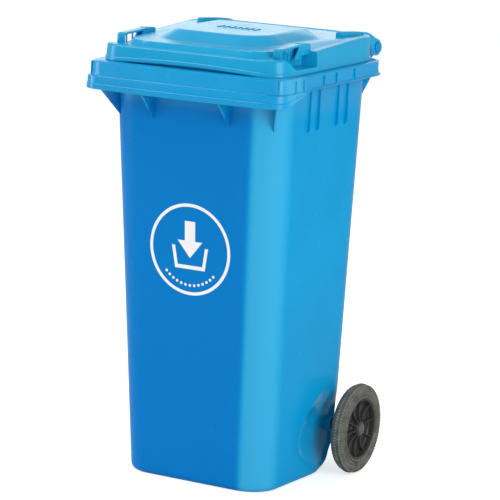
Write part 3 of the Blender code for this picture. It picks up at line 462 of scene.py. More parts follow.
def plastic(name, colour, roughness, specular, grain=900.0, grain_depth=0.00006, shade=0.05):
    """Moulded plastic: a slightly uneven colour, fine spark texture and faint handling marks."""
    material, tree, shader = material_nodes(name, {"Specular IOR Level": specular})
    place = added(tree, "TexCoord")
    cloud, marks, spark = noise(tree, 5.0, 4.0), noise(tree, 38.0, 6.0), noise(tree, grain, 2.0)
    tone = colour_ramp(tree, [(0.3, shaded(colour, 1 - shade)), (0.7, shaded(colour, 1 + shade))])
    gloss = added(tree, "MapRange", {
        "From Min": 0.35, "From Max": 0.7, "To Min": roughness - 0.04, "To Max": roughness + 0.06,
    })
    bump = added(tree, "Bump", {"Strength": 0.35, "Distance": grain_depth})
    link(
        tree,
        (place, "Object", "Vector", cloud, "Fac", "Fac", tone, "Color", "Base Color", shader),
        (place, "Object", "Vector", marks, "Fac", "Value", gloss, "Result", "Roughness", shader),
        (place, "Object", "Vector", spark, "Fac", "Height", bump, "Normal", "Normal", shader),
    )
    return material


def ramp(tree, source, output, low, high, stops):
    """A smooth grey ramp over the range of a node's output, with the given (value, grey) stops."""
    spread = added(tree, "MapRange", {"From Min": low, "From Max": high})
    greys = [((at - low) / (high - low), (level, level, level, 1.0)) for at, level in stops]
    grey = colour_ramp(tree, greys, "EASE")
    link(tree, (source, output, "Value", spread, "Result", "Fac", grey))
    return grey


def painted_light_tone(material, colour, across_stops, depth_stops, height_stops=((0.0, 1), (1.0, 1))):
    """Paints light or shade into the colour by place: mixes another colour in by stops across the tub, back
    from its front and up it.
    """
    tree = material.node_tree
    shader = tree.nodes["Principled BSDF"]
    base = shader.inputs["Base Color"].links[0].from_socket
    place = added(tree, "TexCoord")
    levels = []
    for direction, low, high, stops in (
        ((1.0, 0.0, SIDE_LEAN), -0.2, 0.2, across_stops),
        ((0.0, 1.0, FRONT_LEAN), -0.2, 0.2, depth_stops),
        ((0.0, 0.0, 1.0), 0.0, 1.0, height_stops),
    ):
        along = added(tree, "VectorMath", {1: direction}, operation="DOT_PRODUCT")
        link(tree, (place, "Object", 0, along))
        levels.append(ramp(tree, along, "Value", low, high, stops))
    plan_share, share = (added(tree, "Math", operation="MULTIPLY") for _ in range(2))
    blend = added(tree, "Mix", {"B": shaded(colour, 1)}, data_type="RGBA")
    tree.links.new(base, blend.inputs["A"])
    across, depth, height = levels
    link(
        tree,
        (across, "Color", 0, plan_share, 0, 0, share, 0, "Factor", blend, "Result", "Base Color", shader),
        (depth, "Color", 1, plan_share), (height, "Color", 1, share),
    )


BLUE = (0.003, 0.325, 0.67)
# Painted shade: a deeper blue for the flat front wall.
FRONT_SHADE_BLUE = (0.002, 0.205, 0.59)
# Painted highlight: a lighter blue for the right front corner.
CORNER_HIGHLIGHT_BLUE = (0.042, 0.415, 0.73)
FRONT_LEAN = (BASE[1] - MOUTH[1]) / RIM_HEIGHT
SIDE_LEAN = -0.035
tub_blue = plastic("tub_blue", BLUE, 0.22, 0.05)
blue_tree = tub_blue.node_tree
place = added(blue_tree, "TexCoord")
split = added(blue_tree, "SeparateXYZ")
link(blue_tree, (place, "Object", 0, split))
polish = ramp(blue_tree, split, "Z", 0.0, 1.0, ((0.0, 0), (0.79, 0), (0.83, 1), (1.0, 1)))
polish = scaled(blue_tree, polish, "Color", 0.26, 0.05)
link(blue_tree, (polish, 0, "Specular IOR Level", blue_tree.nodes["Principled BSDF"]))
# Painted highlight: the lighter blue is mixed into the right front corner only, where the corner lamp gleams.
painted_light_tone(
    tub_blue, CORNER_HIGHLIGHT_BLUE, ((0.112, 0), (0.132, 1)), ((-0.19, 0), (-0.165, 1), (-0.125, 1), (-0.085, 0)),
)
# Painted shade: the deeper blue is mixed over the front wall below the collar, stopping short of the right
# corner.
painted_light_tone(
    tub_blue, FRONT_SHADE_BLUE, ((0.108, 1), (0.124, 0)), ((-0.185, 0), (-0.17, 1), (-0.14, 1), (-0.095, 0)),
    ((0.0, 1), (0.8, 1), (0.83, 0), (1.0, 0)),
)

# One closed row of rings: up the outside, round the collar and its lip, and down the inside
LOW_SHARE = 0.225
LOW_ROWS, HIGH_ROWS = 44, 22
INNER_LOW_ROWS, INNER_HIGH_ROWS = 22, 10
rings = [tub_foot(turn) for turn in (0, 22, 45, 67)]
rings += [tub_wall(LOW_SHARE * step / LOW_ROWS) for step in range(LOW_ROWS)]
rings += [tub_wall(lerp(LOW_SHARE, 1.0, step / HIGH_ROWS)) for step in range(HIGH_ROWS + 1)]

# The collar's rings: its deep band, the step over that, and the rolled top with the lip inside it
EDGE = 0.0009
STEP_ROLL = 0.0034
TOP_ROLL = 0.0046
rings += ringed(collar_plan, (STAND_BACK + WALL, rim_top, -WALL))
rings += ringed(
    lambda inset: collar_plan(inset, BAND_RADII),
    (WALL - BAND_FLARE, collar_edge, EDGE), (WALL - EDGE - BAND_FLARE, collar_edge, 0.0),
    (EDGE - BAND_FLARE, collar_edge, 0.0), (-BAND_FLARE, collar_edge, EDGE),
    (-BAND_FLARE, lower_step, -EDGE), (EDGE - BAND_FLARE, lower_step, 0.0), (0.0, lower_step, 0.0002),
    (0.0, collar_step, -STEP_ROLL), (STEP_ROLL * 0.3, collar_step, -STEP_ROLL * 0.3),
    (STEP_ROLL, collar_step, 0.0),
)
rings += ringed(
    collar_plan,
    (STAND_BACK - 0.0004, collar_step, 0.0005), (STAND_BACK, collar_step, 0.0014),
    (STAND_BACK, rim_top, -TOP_ROLL), (STAND_BACK + TOP_ROLL * 0.3, rim_top, -TOP_ROLL * 0.3),
    (STAND_BACK + TOP_ROLL, rim_top, 0.0),
)
rings += [lifted(tub_plan(RIM_HEIGHT, inset), rim_top, rise) for inset, rise in (
    (0.0, 0.0), (0.0, LIP - EDGE), (EDGE, LIP), (WALL - EDGE, LIP), (WALL, LIP - EDGE),
)]
rings += [tub_wall(lerp(1.0, LOW_SHARE, step / INNER_HIGH_ROWS), WALL) for step in range(INNER_HIGH_ROWS + 1)]
rings += [tub_wall(LOW_SHARE * (1 - step / INNER_LOW_ROWS), WALL) for step in range(1, INNER_LOW_ROWS + 1)]
rings += [tub_foot(turn, WALL) for turn in (60, 30, 0)]
tub_parts = [skinned(rings, closed=True)]

# Floor, the step over the axle, the roof of the open bay and the webs that carry the axle
FLOOR = 0.0045
BAY_FRONT = 0.122
BAY_ROOF = 0.1165
ROOF_HALF = 0.1575
WEB_PLACES, WEB_HALF, WEB_REAR = (0.05, 0.135), 0.0025, 0.187
AXLE_Y, AXLE_Z = 0.151, 0.098
axle_line = Vector((0.0, AXLE_Y, AXLE_Z))


def clipped(plan, low_y, high_y):
    return [(x, min(max(y, low_y), high_y)) for x, y in plan]


floor_plan = clipped(tub_plan(0.0, BASE_ROUND - 0.0008), -1.0, BAY_FRONT - 0.0008)
tub_parts.append(skinned([lifted(floor_plan, raked), lifted(floor_plan, raked, FLOOR)]))
roof_plan = [(copysign(min(abs(x), ROOF_HALF), x), y) for x, y in tub_plan(BAY_ROOF, 0.002)]
tub_parts.append(extruded(clipped(roof_plan, BAY_FRONT - WALL, 1.0), 2, BAY_ROOF, BAY_ROOF + WALL))
# The step's wall ends half way into the side walls, wherever they are pressed in or rounded
step_levels = [(0.0004, 0.01), (0.004, 0.0045)]
step_levels += [(z, WALL / 2) for z in (BASE_ROUND, 0.024, 0.038, 0.055, 0.08, 0.1145)]
step_rings = []
for z, inset in step_levels:
    side = tub_size(z)[0] - inset
    front, rear = (pressed(side, y, z, WALL / 2) for y in (BAY_FRONT - WALL, BAY_FRONT))
    step_rings.append([Vector((-front.x, front.y, front.z)), front, rear, Vector((-rear.x, rear.y, rear.z))])
tub_parts.append(skinned(step_rings))
web_profile = [(y, raked(0.0, y) + 0.0005) for y in (BAY_FRONT - 0.001, 0.137, 0.15, WEB_REAR)]
web_profile += [(WEB_REAR, BAY_ROOF + 0.001), (BAY_FRONT - 0.001, BAY_ROOF + 0.001)]
for x in WEB_PLACES:
    tub_parts += both_sides(extruded(web_profile, 0, x - WEB_HALF, x + WEB_HALF))
pad_profile = [(0.156, 0.0103), (0.156, 0.0195), (0.159, 0.018), (0.16, 0.0165), (0.1712, 0.0165),
               (0.172, 0.0157), (0.172, 0.0103)]
tub_parts += both_sides(turned(pad_profile, axle_line, 40))

# Fins under the collar, at its front, its corners and its sides
FIN = 0.0035
FRONT_FIN_X, FRONT_FIN_DROP = 0.092, 0.055
CORNER_FIN_DROP = 0.058
SIDE_FINS, SIDE_FIN_DROP, SIDE_FIN_REACH = (-0.098, -0.06, 0.021, 0.061), 0.098, 0.008


def fin(root, toe, foot_z, toe_z):
    """An upright fin from the wall out to its toe, with a slanting lower edge."""
    way = (toe - root).normalized()
    across = Vector((-way.y, way.x, 0.0)) * FIN / 2
    outline = (
        (root, foot_z), (toe, toe_z),
        (toe, rim_top(toe.x, toe.y) - WALL / 2), (root, rim_top(root.x, root.y) - WALL / 2),
    )
    corners = [Vector((spot.x, spot.y, z)) for spot, z in outline]
    return skinned([[point - across for point in corners], [point + across for point in corners]])


def corner_spot(side, end, radius, inset):
    """The point half way round a plan's right corner at its front or rear end."""
    swing = (radius - inset) * sqrt(0.5)
    way = -1 if end < 0 else 1
    return Vector((side - radius + swing, end + way * (swing - radius), 0.0))


front_low = RIM_HEIGHT - BAND_DEPTH
foot_z = front_low - FRONT_FIN_DROP
root = Vector((FRONT_FIN_X, tub_size(foot_z)[1] + 0.001, 0.0))
toe = Vector((FRONT_FIN_X, COLLAR_FRONT + WALL / 2, 0.0))
tub_parts += both_sides(fin(root, toe, foot_z, front_low + 0.001))
for end, collar_end, collar_radius, low in (
    (1, COLLAR_FRONT, COLLAR_RADII[0], front_low),
    (2, COLLAR_REAR, COLLAR_RADII[1], collar_edge(0.0, COLLAR_REAR)),
):
    foot_z = low - CORNER_FIN_DROP
    size = tub_size(foot_z)
    root = corner_spot(size[0], size[end], size[3], 0.001)
    toe = corner_spot(COLLAR_SIDE, collar_end, collar_radius, WALL / 2)
    tub_parts += both_sides(fin(root, toe, foot_z, low + 0.022))
for y in SIDE_FINS:
    foot_z = collar_edge(0.0, y) - SIDE_FIN_DROP
    root = Vector((tub_size(foot_z)[0] - 0.001, y, 0.0))
    toe = root + Vector((SIDE_FIN_REACH, 0.0, 0.0))
    tub_parts += both_sides(fin(root, toe, foot_z, foot_z + SIDE_FIN_REACH))

# Thin ribs down the collar's sides
RIBS, RIB_HALF = (-0.205, -0.172, -0.088, -0.035, 0.043), 0.0011
for y in RIBS:
    tub_parts += both_sides(box_between(
        (COLLAR_SIDE - STAND_BACK - 0.001, y - RIB_HALF, collar_step(0.0, y) + 0.0002),
        (COLLAR_SIDE - 0.0012, y + RIB_HALF, rim_top(0.0, y) - TOP_ROLL),
    ))
# Only the first one has room to run on over the deep band's upper half
y = RIBS[0]
tub_parts += both_sides(box_between(
    (COLLAR_SIDE - 0.001, y - RIB_HALF, lower_step(0.0, y) + 0.0004),
    (COLLAR_SIDE + 0.0013, y + RIB_HALF, collar_step(0.0, y) - STEP_ROLL - 0.001),
))

# Ears behind the collar and the round bar between them, which is the pull handle and the lid's hinge
HINGE = (0.25, 0.91701)  # y and z
EAR_X, EAR_THICKNESS, EAR_RADIUS = 0.142, 0.021, 0.025
HANDLE_RADIUS = 0.014
ear = [(COLLAR_REAR - WALL / 2, rim_top(0.0, COLLAR_REAR) - 0.002),
       (COLLAR_REAR - WALL / 2, collar_edge(0.0, COLLAR_REAR) + 0.001)]
ear += arc(HINGE, EAR_RADIUS, -110, 140, 32)
tub_parts += both_sides(extruded(ear, 0, EAR_X, EAR_X + EAR_THICKNESS))
reach = EAR_X + EAR_THICKNESS / 2
tub_parts.append(rod(-reach, reach, HANDLE_RADIUS, 40))

tub = made("tub_moulding", gathered(tub_parts), tub_blue)
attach(tub, "bin")
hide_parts("body")


# ---- Lid: a hollow blue moulding that lies on the rim and swings over the back
# One shot in a 3.5 mm wall: a skirt, a stepped border, and a dome that climbs to a low ridge and
# falls to the rear. A scoop and a carrying grip are at each side, and two hinge arms at the rear.
LID_SIDE, LID_FRONT, LID_REAR = 0.22, -0.241, 0.196
LID_RADII = (0.048, 0.075)
LID_ARCH = 0.005
SEAT_GAP = 0.0004
SKIRT_HEIGHT, SKIRT_CLIMB = 0.033, 0.0535
PANEL_HEIGHT, PANEL_CLIMB = 0.0455, 0.025
BORDER_SIDE, BORDER_CLIMB = 0.204, 0.2
REAR_LEVEL, LEVEL_BLEND = 0.9495, 0.003
PANEL_PLAN = (0.178, -0.227, 0.186, 0.066)
PANEL_STEP = 0.0065
DOME_HALF, DOME_FRONT, DOME_CORNER = 0.112, -0.149, 0.06
DOME_TAPER, DOME_FALL, HIP_LEAN = 0.04, 0.2, 0.72
FRONT_SLOPE, REAR_SLOPE = 0.55, 0.26
DOME_FRONT_Z, RIDGE_Z, RIDGE_Y = 0.9578, 0.9632, 0.062
SCOOP = (-0.205, -0.09)
SCOOP_FLOOR = 0.9015
SCOOP_WALL_X = 0.18
GRIP_X, GRIP_HALF, LEG_THICKNESS = 0.188, 0.009, 0.003
SKIRT_ROUND = ((0.002, -0.0045), (0.0022, -0.0026), (0.003, -0.0011), (0.0045, -0.0002), (0.0065, 0.0006))
NET_MARGIN = 0.0085
TOP_SPACING, HOLLOW_SPACING = 0.0045, 0.012


def lid_plan(inset):
    return inset_plan((LID_SIDE, LID_FRONT, LID_REAR), LID_RADII, inset)


def rim_level(x, y):
    return RIM_HEIGHT


def skirt_edge(x, y):
    """Lower edge of the skirt: it lies on the rim, and arches up along the front."""
    arch = 0.0
    if y < LID_FRONT + 0.024:
        arch = LID_ARCH * max(1 - (x / (LID_SIDE - LID_RADII[0])) ** 2, 0.0)
    return rim_top(x, y) + SEAT_GAP + arch


def lid_edge(x, y):
    """Top of the skirt, which rises to the rear and levels off there."""
    climb = rim_top(x, y) + SKIRT_HEIGHT + SKIRT_CLIMB * (y - LID_FRONT)
    return soft_least(climb, REAR_LEVEL + 0.001, LEVEL_BLEND)


def soft_least(a, b, width):
    """The smaller of two values, blended where they come closer than the width."""
    share = max(width - abs(a - b), 0.0) / width
    return min(a, b) - share * share * width / 4


def soft_most(a, b, width):
    return -soft_least(-a, -b, width)


def rounded_depth(x, y, side, front, rear, radius):
    """Distance from a point to a rounded rectangle's outline, positive inside it."""
    middle, half = (front + rear) / 2, (rear - front) / 2
    out_x = abs(x) - (side - radius)
    out_y = abs(y - middle) - (half - radius)
    return radius - hypot(max(out_x, 0.0), max(out_y, 0.0)) - min(max(out_x, out_y), 0.0)


def lid_top(x, y):
    """Height of the lid's top surface inside its skirt."""
    across = abs(x)
    edge = lid_edge(x, y) + 0.0008
    panel = rim_top(x, y) + PANEL_HEIGHT + PANEL_CLIMB * (y - LID_FRONT)
    panel = soft_least(panel, REAR_LEVEL, LEVEL_BLEND)
    border = soft_least(edge + BORDER_CLIMB * max(BORDER_SIDE - across, 0.0), panel, 0.002)
    step = eased(0.0, PANEL_STEP, rounded_depth(x, y, *PANEL_PLAN))
    base = lerp(min(edge, border) if y < -0.15 else border, panel, step)
    half = DOME_HALF - DOME_TAPER * max(y - DOME_FRONT - 0.06, 0.0)
    hip = RIDGE_Y - HIP_LEAN * max(across - 0.104, 0.0)
    near = min(y, hip)
    outside = soft_most(-rounded_depth(x, near, half, DOME_FRONT, 1.0, DOME_CORNER), 0.0, 0.004)
    front = lerp(DOME_FRONT_Z, RIDGE_Z, (near - DOME_FRONT) / (RIDGE_Y - DOME_FRONT))
    slope = lerp(FRONT_SLOPE, REAR_SLOPE, eased(-0.09, 0.03, near))
    crown = front - slope * outside - DOME_FALL * (y - near)
    return soft_most(base, crown, 0.0025)


def lid_shell(low_rings, drop, spacing):
    """A closed skin: the low rings, the skirt's rounded top, and the lid's top over a fine net."""
    rings = low_rings + [
        lifted(lid_plan(inset + drop * 0.8), lid_edge, rise - drop) for inset, rise in SKIRT_ROUND
    ]
    bm = skinned(rings)
    bmesh.ops.delete(bm, geom=[face for face in bm.faces if len(face.verts) > 4][-1:], context="FACES_ONLY")
    # The net keeps to the skirt's top ring and to the crest and foot of the panel's step
    side, front, rear, radius = PANEL_PLAN
    crests = [
        whole_plan(side - depth, front + depth, rear - depth, (radius, radius)) for depth in (0.0, PANEL_STEP)
    ]
    loop = lid_plan(SKIRT_ROUND[-1][0] + drop * 0.8)
    points, edges = [], []
    for plan in [loop] + crests:
        start = len(points)
        points += [Vector(spot) for spot in plan]
        edges += [(start + i, start + (i + 1) % len(plan)) for i in range(len(plan))]
    for row in range(1, int((LID_REAR - LID_FRONT) / spacing)):
        for column in range(1, int(2 * LID_SIDE / spacing)):
            x, y = -LID_SIDE + column * spacing, LID_FRONT + row * spacing
            depth = min(rounded_depth(x, y, LID_SIDE, LID_FRONT, LID_REAR, LID_RADII[0]),
                        rounded_depth(x, y, LID_SIDE, LID_FRONT - 0.1, LID_REAR, LID_RADII[1]))
            if depth > NET_MARGIN + drop:
                points.append(Vector((x, y)))
    flat, _, triangles = delaunay_2d_cdt(points, edges, [list(range(len(loop)))], 1, 1e-6)[:3]
    corners = []
    for i, (x, y) in enumerate(flat):
        top = lid_edge(x, y) + SKIRT_ROUND[-1][1] if i < len(loop) else lid_top(x, y)
        corners.append(bm.verts.new((x, y, top - drop)))
    for triangle in triangles:
        bm.faces.new([corners[i] for i in triangle])
    bmesh.ops.remove_doubles(bm, verts=bm.verts, dist=1e-5)
    bmesh.ops.recalc_face_normals(bm, faces=bm.faces)
    return bm


def settled(item):
    """Keeps what an object's modifiers make of it as its own mesh."""
    bpy.context.view_layer.update()
    graph = bpy.context.evaluated_depsgraph_get()
    mesh = bpy.data.meshes.new_from_object(item.evaluated_get(graph))
    item.modifiers.clear()
    item.data = mesh
    return item


def taken(item):
    """An object's mesh as a bmesh; the object itself goes."""
    bm = bmesh.new()
    bm.from_mesh(item.data)
    bpy.data.objects.remove(item)
    return bm


def cut(target, cutter, crossing=False):
    """Takes a bmesh from an object's mesh with an exact Boolean."""
    bmesh.ops.recalc_face_normals(cutter, faces=cutter.faces)
    mesh = bpy.data.meshes.new("cutter")
    cutter.to_mesh(mesh)
    cutter.free()
    boolean = target.modifiers.new("cut", "BOOLEAN")
    boolean.operation, boolean.solver, boolean.use_self = "DIFFERENCE", "EXACT", crossing
    tool = placed("cutter", mesh)
    boolean.object = tool
    settled(target)
    bpy.data.objects.remove(tool)


def eased_edges(bm, width, segments=3):
    """Rounds every edge of a plain block."""
    bmesh.ops.recalc_face_normals(bm, faces=bm.faces)
    bmesh.ops.bevel(
        bm, geom=bm.edges[:], offset=width, segments=segments, affect="EDGES", profile=0.5,
        clamp_overlap=True,
    )
    return bm


def scoop_tool(grow):
    """What a scoop takes out of the lid's right side, or that shape grown by a wall."""
    low = SCOOP_FLOOR - grow
    profile = [
        (SCOOP[0] - 0.032 - grow, low + 0.1), (SCOOP[0] - 0.03 - grow, 0.938 - grow),
        (SCOOP[0] + 0.027 - grow, low), (SCOOP[1] + grow, low + 0.001), (SCOOP[1] + grow, low + 0.1),
    ]
    return eased_edges(extruded(profile, 0, SCOOP_WALL_X - grow, LID_SIDE + 0.05), 0.0026)


LID_BLUE = (0.006, 0.37, 0.67)
lid_blue = plastic("lid_blue", LID_BLUE, 0.2, 0.27)
rings = ringed(
    lid_plan,
    (0.03, rim_level, 0.0), (0.015, skirt_edge, 0.0), (-0.0007, skirt_edge, 0.0),
    (-0.0015, skirt_edge, 0.0008), (-0.0015, skirt_edge, 0.0068), (-0.0008, skirt_edge, 0.008),
    (0.0002, skirt_edge, 0.0086),
)
lid = made("lid_moulding", lid_shell(rings, 0.0, TOP_SPACING), lid_blue)
rings = ringed(lid_plan, (0.0035, rim_level, -0.05), (0.0035, rim_top, 0.013))
hollow = made("hollow", lid_shell(rings, WALL, HOLLOW_SPACING), lid_blue)
for item, grow in ((lid, 0.0), (hollow, WALL)):
    for tool in both_sides(scoop_tool(grow)):
        cut(item, tool)
cut(lid, taken(hollow))

# Hinge arms: straps that run back over the lid's rear corners, each with a bore for its pin
KNUCKLE_X = EAR_X + EAR_THICKNESS + 0.0006
KNUCKLE_THICKNESS, KNUCKLE_RADIUS = 0.016, 0.018
PIN_BORE = 0.0063
knuckle = arc(HINGE, KNUCKLE_RADIUS, -112, 78, 36)
knuckle += [
    (0.24, 0.9385), (0.228, 0.944), (0.215, 0.9492), (0.198, 0.9532), (0.179, 0.9552), (0.14, 0.9582),
    (0.098, 0.9604), (0.09, 0.9596), (0.086, 0.957), (0.085, 0.944), (0.18, 0.944), (0.197, 0.94),
    (0.21, 0.93),
]
arm = made("arm", gathered([extruded(knuckle, 0, KNUCKLE_X, KNUCKLE_X + KNUCKLE_THICKNESS)]), lid_blue)
bevel = arm.modifiers.new("edges", "BEVEL")
bevel.width, bevel.segments = 0.0014, 2
bevel.limit_method, bevel.angle_limit = "ANGLE", radians(60)
cut(settled(arm), rod(EAR_X, EAR_X + 0.06, PIN_BORE, 32))

# Grips: a thin strap from a rounded front leg back to a block, with a second leg and a gusset
grip_parts = [
    eased_edges(extruded([
        (-0.203, 0.918), (-0.1995, 0.918), (-0.1992, 0.938), (-0.1965, 0.94), (-0.149, 0.9424),
        (-0.112, 0.9455), (-0.112, 0.9497), (-0.12, 0.9492), (-0.149, 0.9468), (-0.196, 0.9442),
        (-0.2012, 0.9425), (-0.203, 0.9385),
    ], 0, GRIP_X - GRIP_HALF, GRIP_X + GRIP_HALF), 0.0007, 2),
    eased_edges(extruded([
        (-0.118, 0.925), (-0.082, 0.927), (-0.082, 0.947), (-0.086, 0.9496), (-0.114, 0.9508),
        (-0.118, 0.949),
    ], 0, GRIP_X - 0.01, GRIP_X + 0.01), 0.0016),
]
for x in (GRIP_X - GRIP_HALF + 0.0002, GRIP_X + GRIP_HALF - 0.0032):
    for leg in (
        [(-0.171, 0.918), (-0.168, 0.918), (-0.168, 0.944), (-0.171, 0.9435)],
        [(-0.145, 0.918), (-0.116, 0.92), (-0.116, 0.946), (-0.127, 0.945)],
    ):
        grip_parts.append(eased_edges(extruded(leg, 0, x, x + LEG_THICKNESS), 0.0005, 2))
lid_parts = [part for item in grip_parts + [taken(arm)] for part in both_sides(item)]
lid = made("lid_moulding", gathered(lid_parts + [taken(lid)]), lid_blue, 30)
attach(lid, "lid_body")
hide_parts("lid")


# ---- Hinge pins: blue plastic pins pushed through the arms into the ears
# Plain headed pins, moulded from the same stock as the bin and pressed home by hand.
pin_blue = plastic("pin_blue", (0.004, 0.26, 0.62), 0.32, 0.15, 1200.0)
for name in ("hinge_pin_left", "hinge_pin_right"):
    nodes[name].material_slots[0].material = pin_blue


# ---- Axle set: a zinc-plated steel axle with its washers, lock pins and plastic sleeves
# The bar is cut from drawn stock and plated, as are the washers and the lock pins. The sleeves are
# short lengths of dark tube that keep the wheels off the tub.
def metal(name, colour, roughness, streak):
    """Plated steel: a grey metal with faint drawn streaks along X and cloudy spangle."""
    material, tree, shader = material_nodes(name, {"Metallic": 1.0})
    place = added(tree, "TexCoord")
    stretch = added(tree, "Mapping", {"Scale": (streak, 1.0, 1.0)})
    cloud = noise(tree, 260.0, 3.0)
    tone = colour_ramp(tree, [(0.35, shaded(colour, 0.8)), (0.65, shaded(colour, 1.05))])
    gloss = added(tree, "MapRange", {"To Min": roughness - 0.08, "To Max": roughness + 0.12})
    link(
        tree,
        (place, "Object", "Vector", stretch, "Vector", "Vector", cloud, "Fac", "Fac", tone),
        (tone, "Color", "Base Color", shader), (cloud, "Fac", "Value", gloss, "Result", "Roughness", shader),
    )
    return material


zinc = metal("zinc_plate", (0.55, 0.56, 0.57), 0.34, 0.05)
sleeve_grey = plastic("sleeve_grey", (0.05, 0.052, 0.056), 0.48, 0.35, 1100.0)
for name in ("axle", "axle_washer_left", "axle_washer_right", "lock_pin_left", "lock_pin_right"):
    nodes[name].material_slots[0].material = zinc
for side_name in ("left", "right"):
    nodes["axle_sleeve_" + side_name].material_slots[0].material = sleeve_grey


# ---- Lock springs: small coils of hard-drawn wire that hold the lock pins down
# Each sits above its pin in the hub's tower and shortens as the pin is pushed up to free the wheel.
spring_wire = metal("spring_wire", (0.5, 0.5, 0.52), 0.28, 1.0)
GROOVE_X = 0.2221
SPRING_FOOT, SPRING_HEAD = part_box("lock_spring_right")[0].z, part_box("lock_spring_right")[1].z
SPRING_WIRE, SPRING_RADIUS, SPRING_TURNS, COIL_STEPS = 0.0004, 0.0022, 5, 24


def circle_points(radius, steps, u=0.0, v=0.0):
    turns = [2 * pi * step / steps for step in range(steps)]
    return [(u + radius * cos(turn), v + radius * sin(turn)) for turn in turns]


def by_side(bm):
    """Both sides of a right-hand bmesh with the names of their sides, facing outwards."""
    return [(name, gathered([half])) for name, half in zip(("right", "left"), both_sides(bm))]


coil_rings = []
for step in range(SPRING_TURNS * COIL_STEPS + 1):
    turn = 2 * pi * step / COIL_STEPS
    z = lerp(SPRING_FOOT + SPRING_WIRE, SPRING_HEAD - SPRING_WIRE, step / (SPRING_TURNS * COIL_STEPS))
    out = Vector((cos(turn), sin(turn), 0.0))
    coil_rings.append([
        Vector((GROOVE_X, AXLE_Y, z)) + out * (SPRING_RADIUS + along) + Vector((0, 0, up))
        for along, up in circle_points(SPRING_WIRE, 8)
    ])
for side_name, solid in by_side(skinned(coil_rings)):
    piece = made("spring_" + side_name, solid, spring_wire, 60)
    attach(piece, "wheel_" + side_name)
    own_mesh(piece)
    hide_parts("lock_spring_" + side_name)


# ---- Wheel rims: dark polypropylene mouldings, each with a web, ten spokes and a hub
# Pushed onto the axle's ends and held by a sprung pin that drops into its groove. Each spoke is a
# thin rib whose outer edge dips between the hub and the ring.
WHEEL_INNER_X = 0.2105
RIM_RADIUS, RING_RADIUS = 0.0662, 0.0622
WEB_X = (0.2229, 0.2269)
HUB_RADIUS, BORE_RADIUS = 0.0165, 0.0103
HUB_END = 0.2412
SPOKES, SPOKE_START, SPOKE_DIP = 10, 9.0, 0.007
TOWER_HALF, TOWER_HEIGHT = 0.006, 0.0337
POCKET_RADIUS, POCKET_DEPTH = 0.0033, 0.0307


def repeat_tree(name, extras, output):
    """A node tree that sets copies of a part on a line of points, then makes them real and paints them."""
    tree = bpy.data.node_groups.new(name, "GeometryNodeTree")
    for title, kind in [("Part", "Geometry"), ("Count", "Int")] + extras + [("Material", "Material")]:
        tree.interface.new_socket(title, in_out="INPUT", socket_type="NodeSocket" + kind)
    tree.interface.new_socket(output, in_out="OUTPUT", socket_type="NodeSocketGeometry")
    given, spots, copies, real, painted, result = (added(tree, kind) for kind in (
        "NodeGroupInput", "GeometryNodeMeshLine", "GeometryNodeInstanceOnPoints",
        "GeometryNodeRealizeInstances", "GeometryNodeSetMaterial", "NodeGroupOutput",
    ))
    link(
        tree,
        (given, "Count", "Count", spots, "Mesh", "Points", copies), (given, "Part", "Instance", copies),
        (real, "Geometry", "Geometry", painted, "Geometry", output, result),
        (given, "Material", "Material", painted),
    )
    return tree, given, spots, copies, real


def round_axle_tree():
    """Repeats a part about an axle along X: how many, the first one's angle, the axle and material."""
    extras = [("First Angle", "Float"), ("Axle", "Vector")]
    tree, given, spots, copies, real = repeat_tree("round_axle", extras, "Ring")
    preset(spots, {"Offset": (0.0, 0.0, 0.0)})
    index = added(tree, "GeometryNodeInputIndex")
    pitch = added(tree, "Math", {0: 2 * pi}, operation="DIVIDE")
    turn = added(tree, "Math", operation="MULTIPLY_ADD")
    angle = added(tree, "CombineXYZ")
    moved = added(tree, "GeometryNodeTransform")
    link(
        tree,
        (index, 0, 0, turn, 0, "X", angle, 0, "Rotation", copies, "Instances", "Geometry", moved),
        (given, "Count", 1, pitch, 0, 1, turn), (given, "First Angle", 2, turn),
        (given, "Axle", "Translation", moved, "Geometry", "Geometry", real),
    )
    return tree


round_axle = round_axle_tree()


def grown(bm, tree, values, material):
    """A bmesh of what a node tree makes of a part, with the tree's named inputs set."""
    item = made("grown", bm, material)
    modifier = item.modifiers.new("grow", "NODES")
    modifier.node_group = tree
    for socket in tree.interface.items_tree:
        if socket.in_out == "INPUT" and socket.name in values:
            modifier[socket.identifier] = values[socket.name]
    return taken(settled(item))


def repeated(bm, count, first_angle, material):
    return grown(bm, round_axle, {
        "Count": count, "First Angle": radians(first_angle), "Axle": axle_line, "Material": material,
    }, material)


rim_grey = plastic("rim_grey", (0.036, 0.036, 0.037), 0.4, 0.4, 1000.0)
rim_profile = [
    (WHEEL_INNER_X, BORE_RADIUS), (WHEEL_INNER_X, HUB_RADIUS - 0.001), (WHEEL_INNER_X + 0.001, HUB_RADIUS),
    (WEB_X[0] - 0.002, HUB_RADIUS + 0.0015), (WEB_X[0], HUB_RADIUS + 0.0035),
    (WEB_X[0], RING_RADIUS - 0.0015), (WEB_X[0] - 0.0015, RING_RADIUS), (0.215, RING_RADIUS),
    (0.2145, RING_RADIUS + 0.0006), (0.2145, RIM_RADIUS - 0.0006), (0.215, RIM_RADIUS),
    (0.24, RIM_RADIUS), (0.2412, RIM_RADIUS - 0.0008),
    (0.2415, RIM_RADIUS - 0.0022), (0.241, RING_RADIUS + 0.0006), (0.24, RING_RADIUS),
    (WEB_X[1] + 0.002, RING_RADIUS), (WEB_X[1], RING_RADIUS - 0.002), (WEB_X[1], HUB_RADIUS + 0.004),
    (WEB_X[1] + 0.002, HUB_RADIUS + 0.0012), (HUB_END - 0.0012, HUB_RADIUS),
    (HUB_END, HUB_RADIUS - 0.0012), (HUB_END, BORE_RADIUS),
]
spoke_edge = []
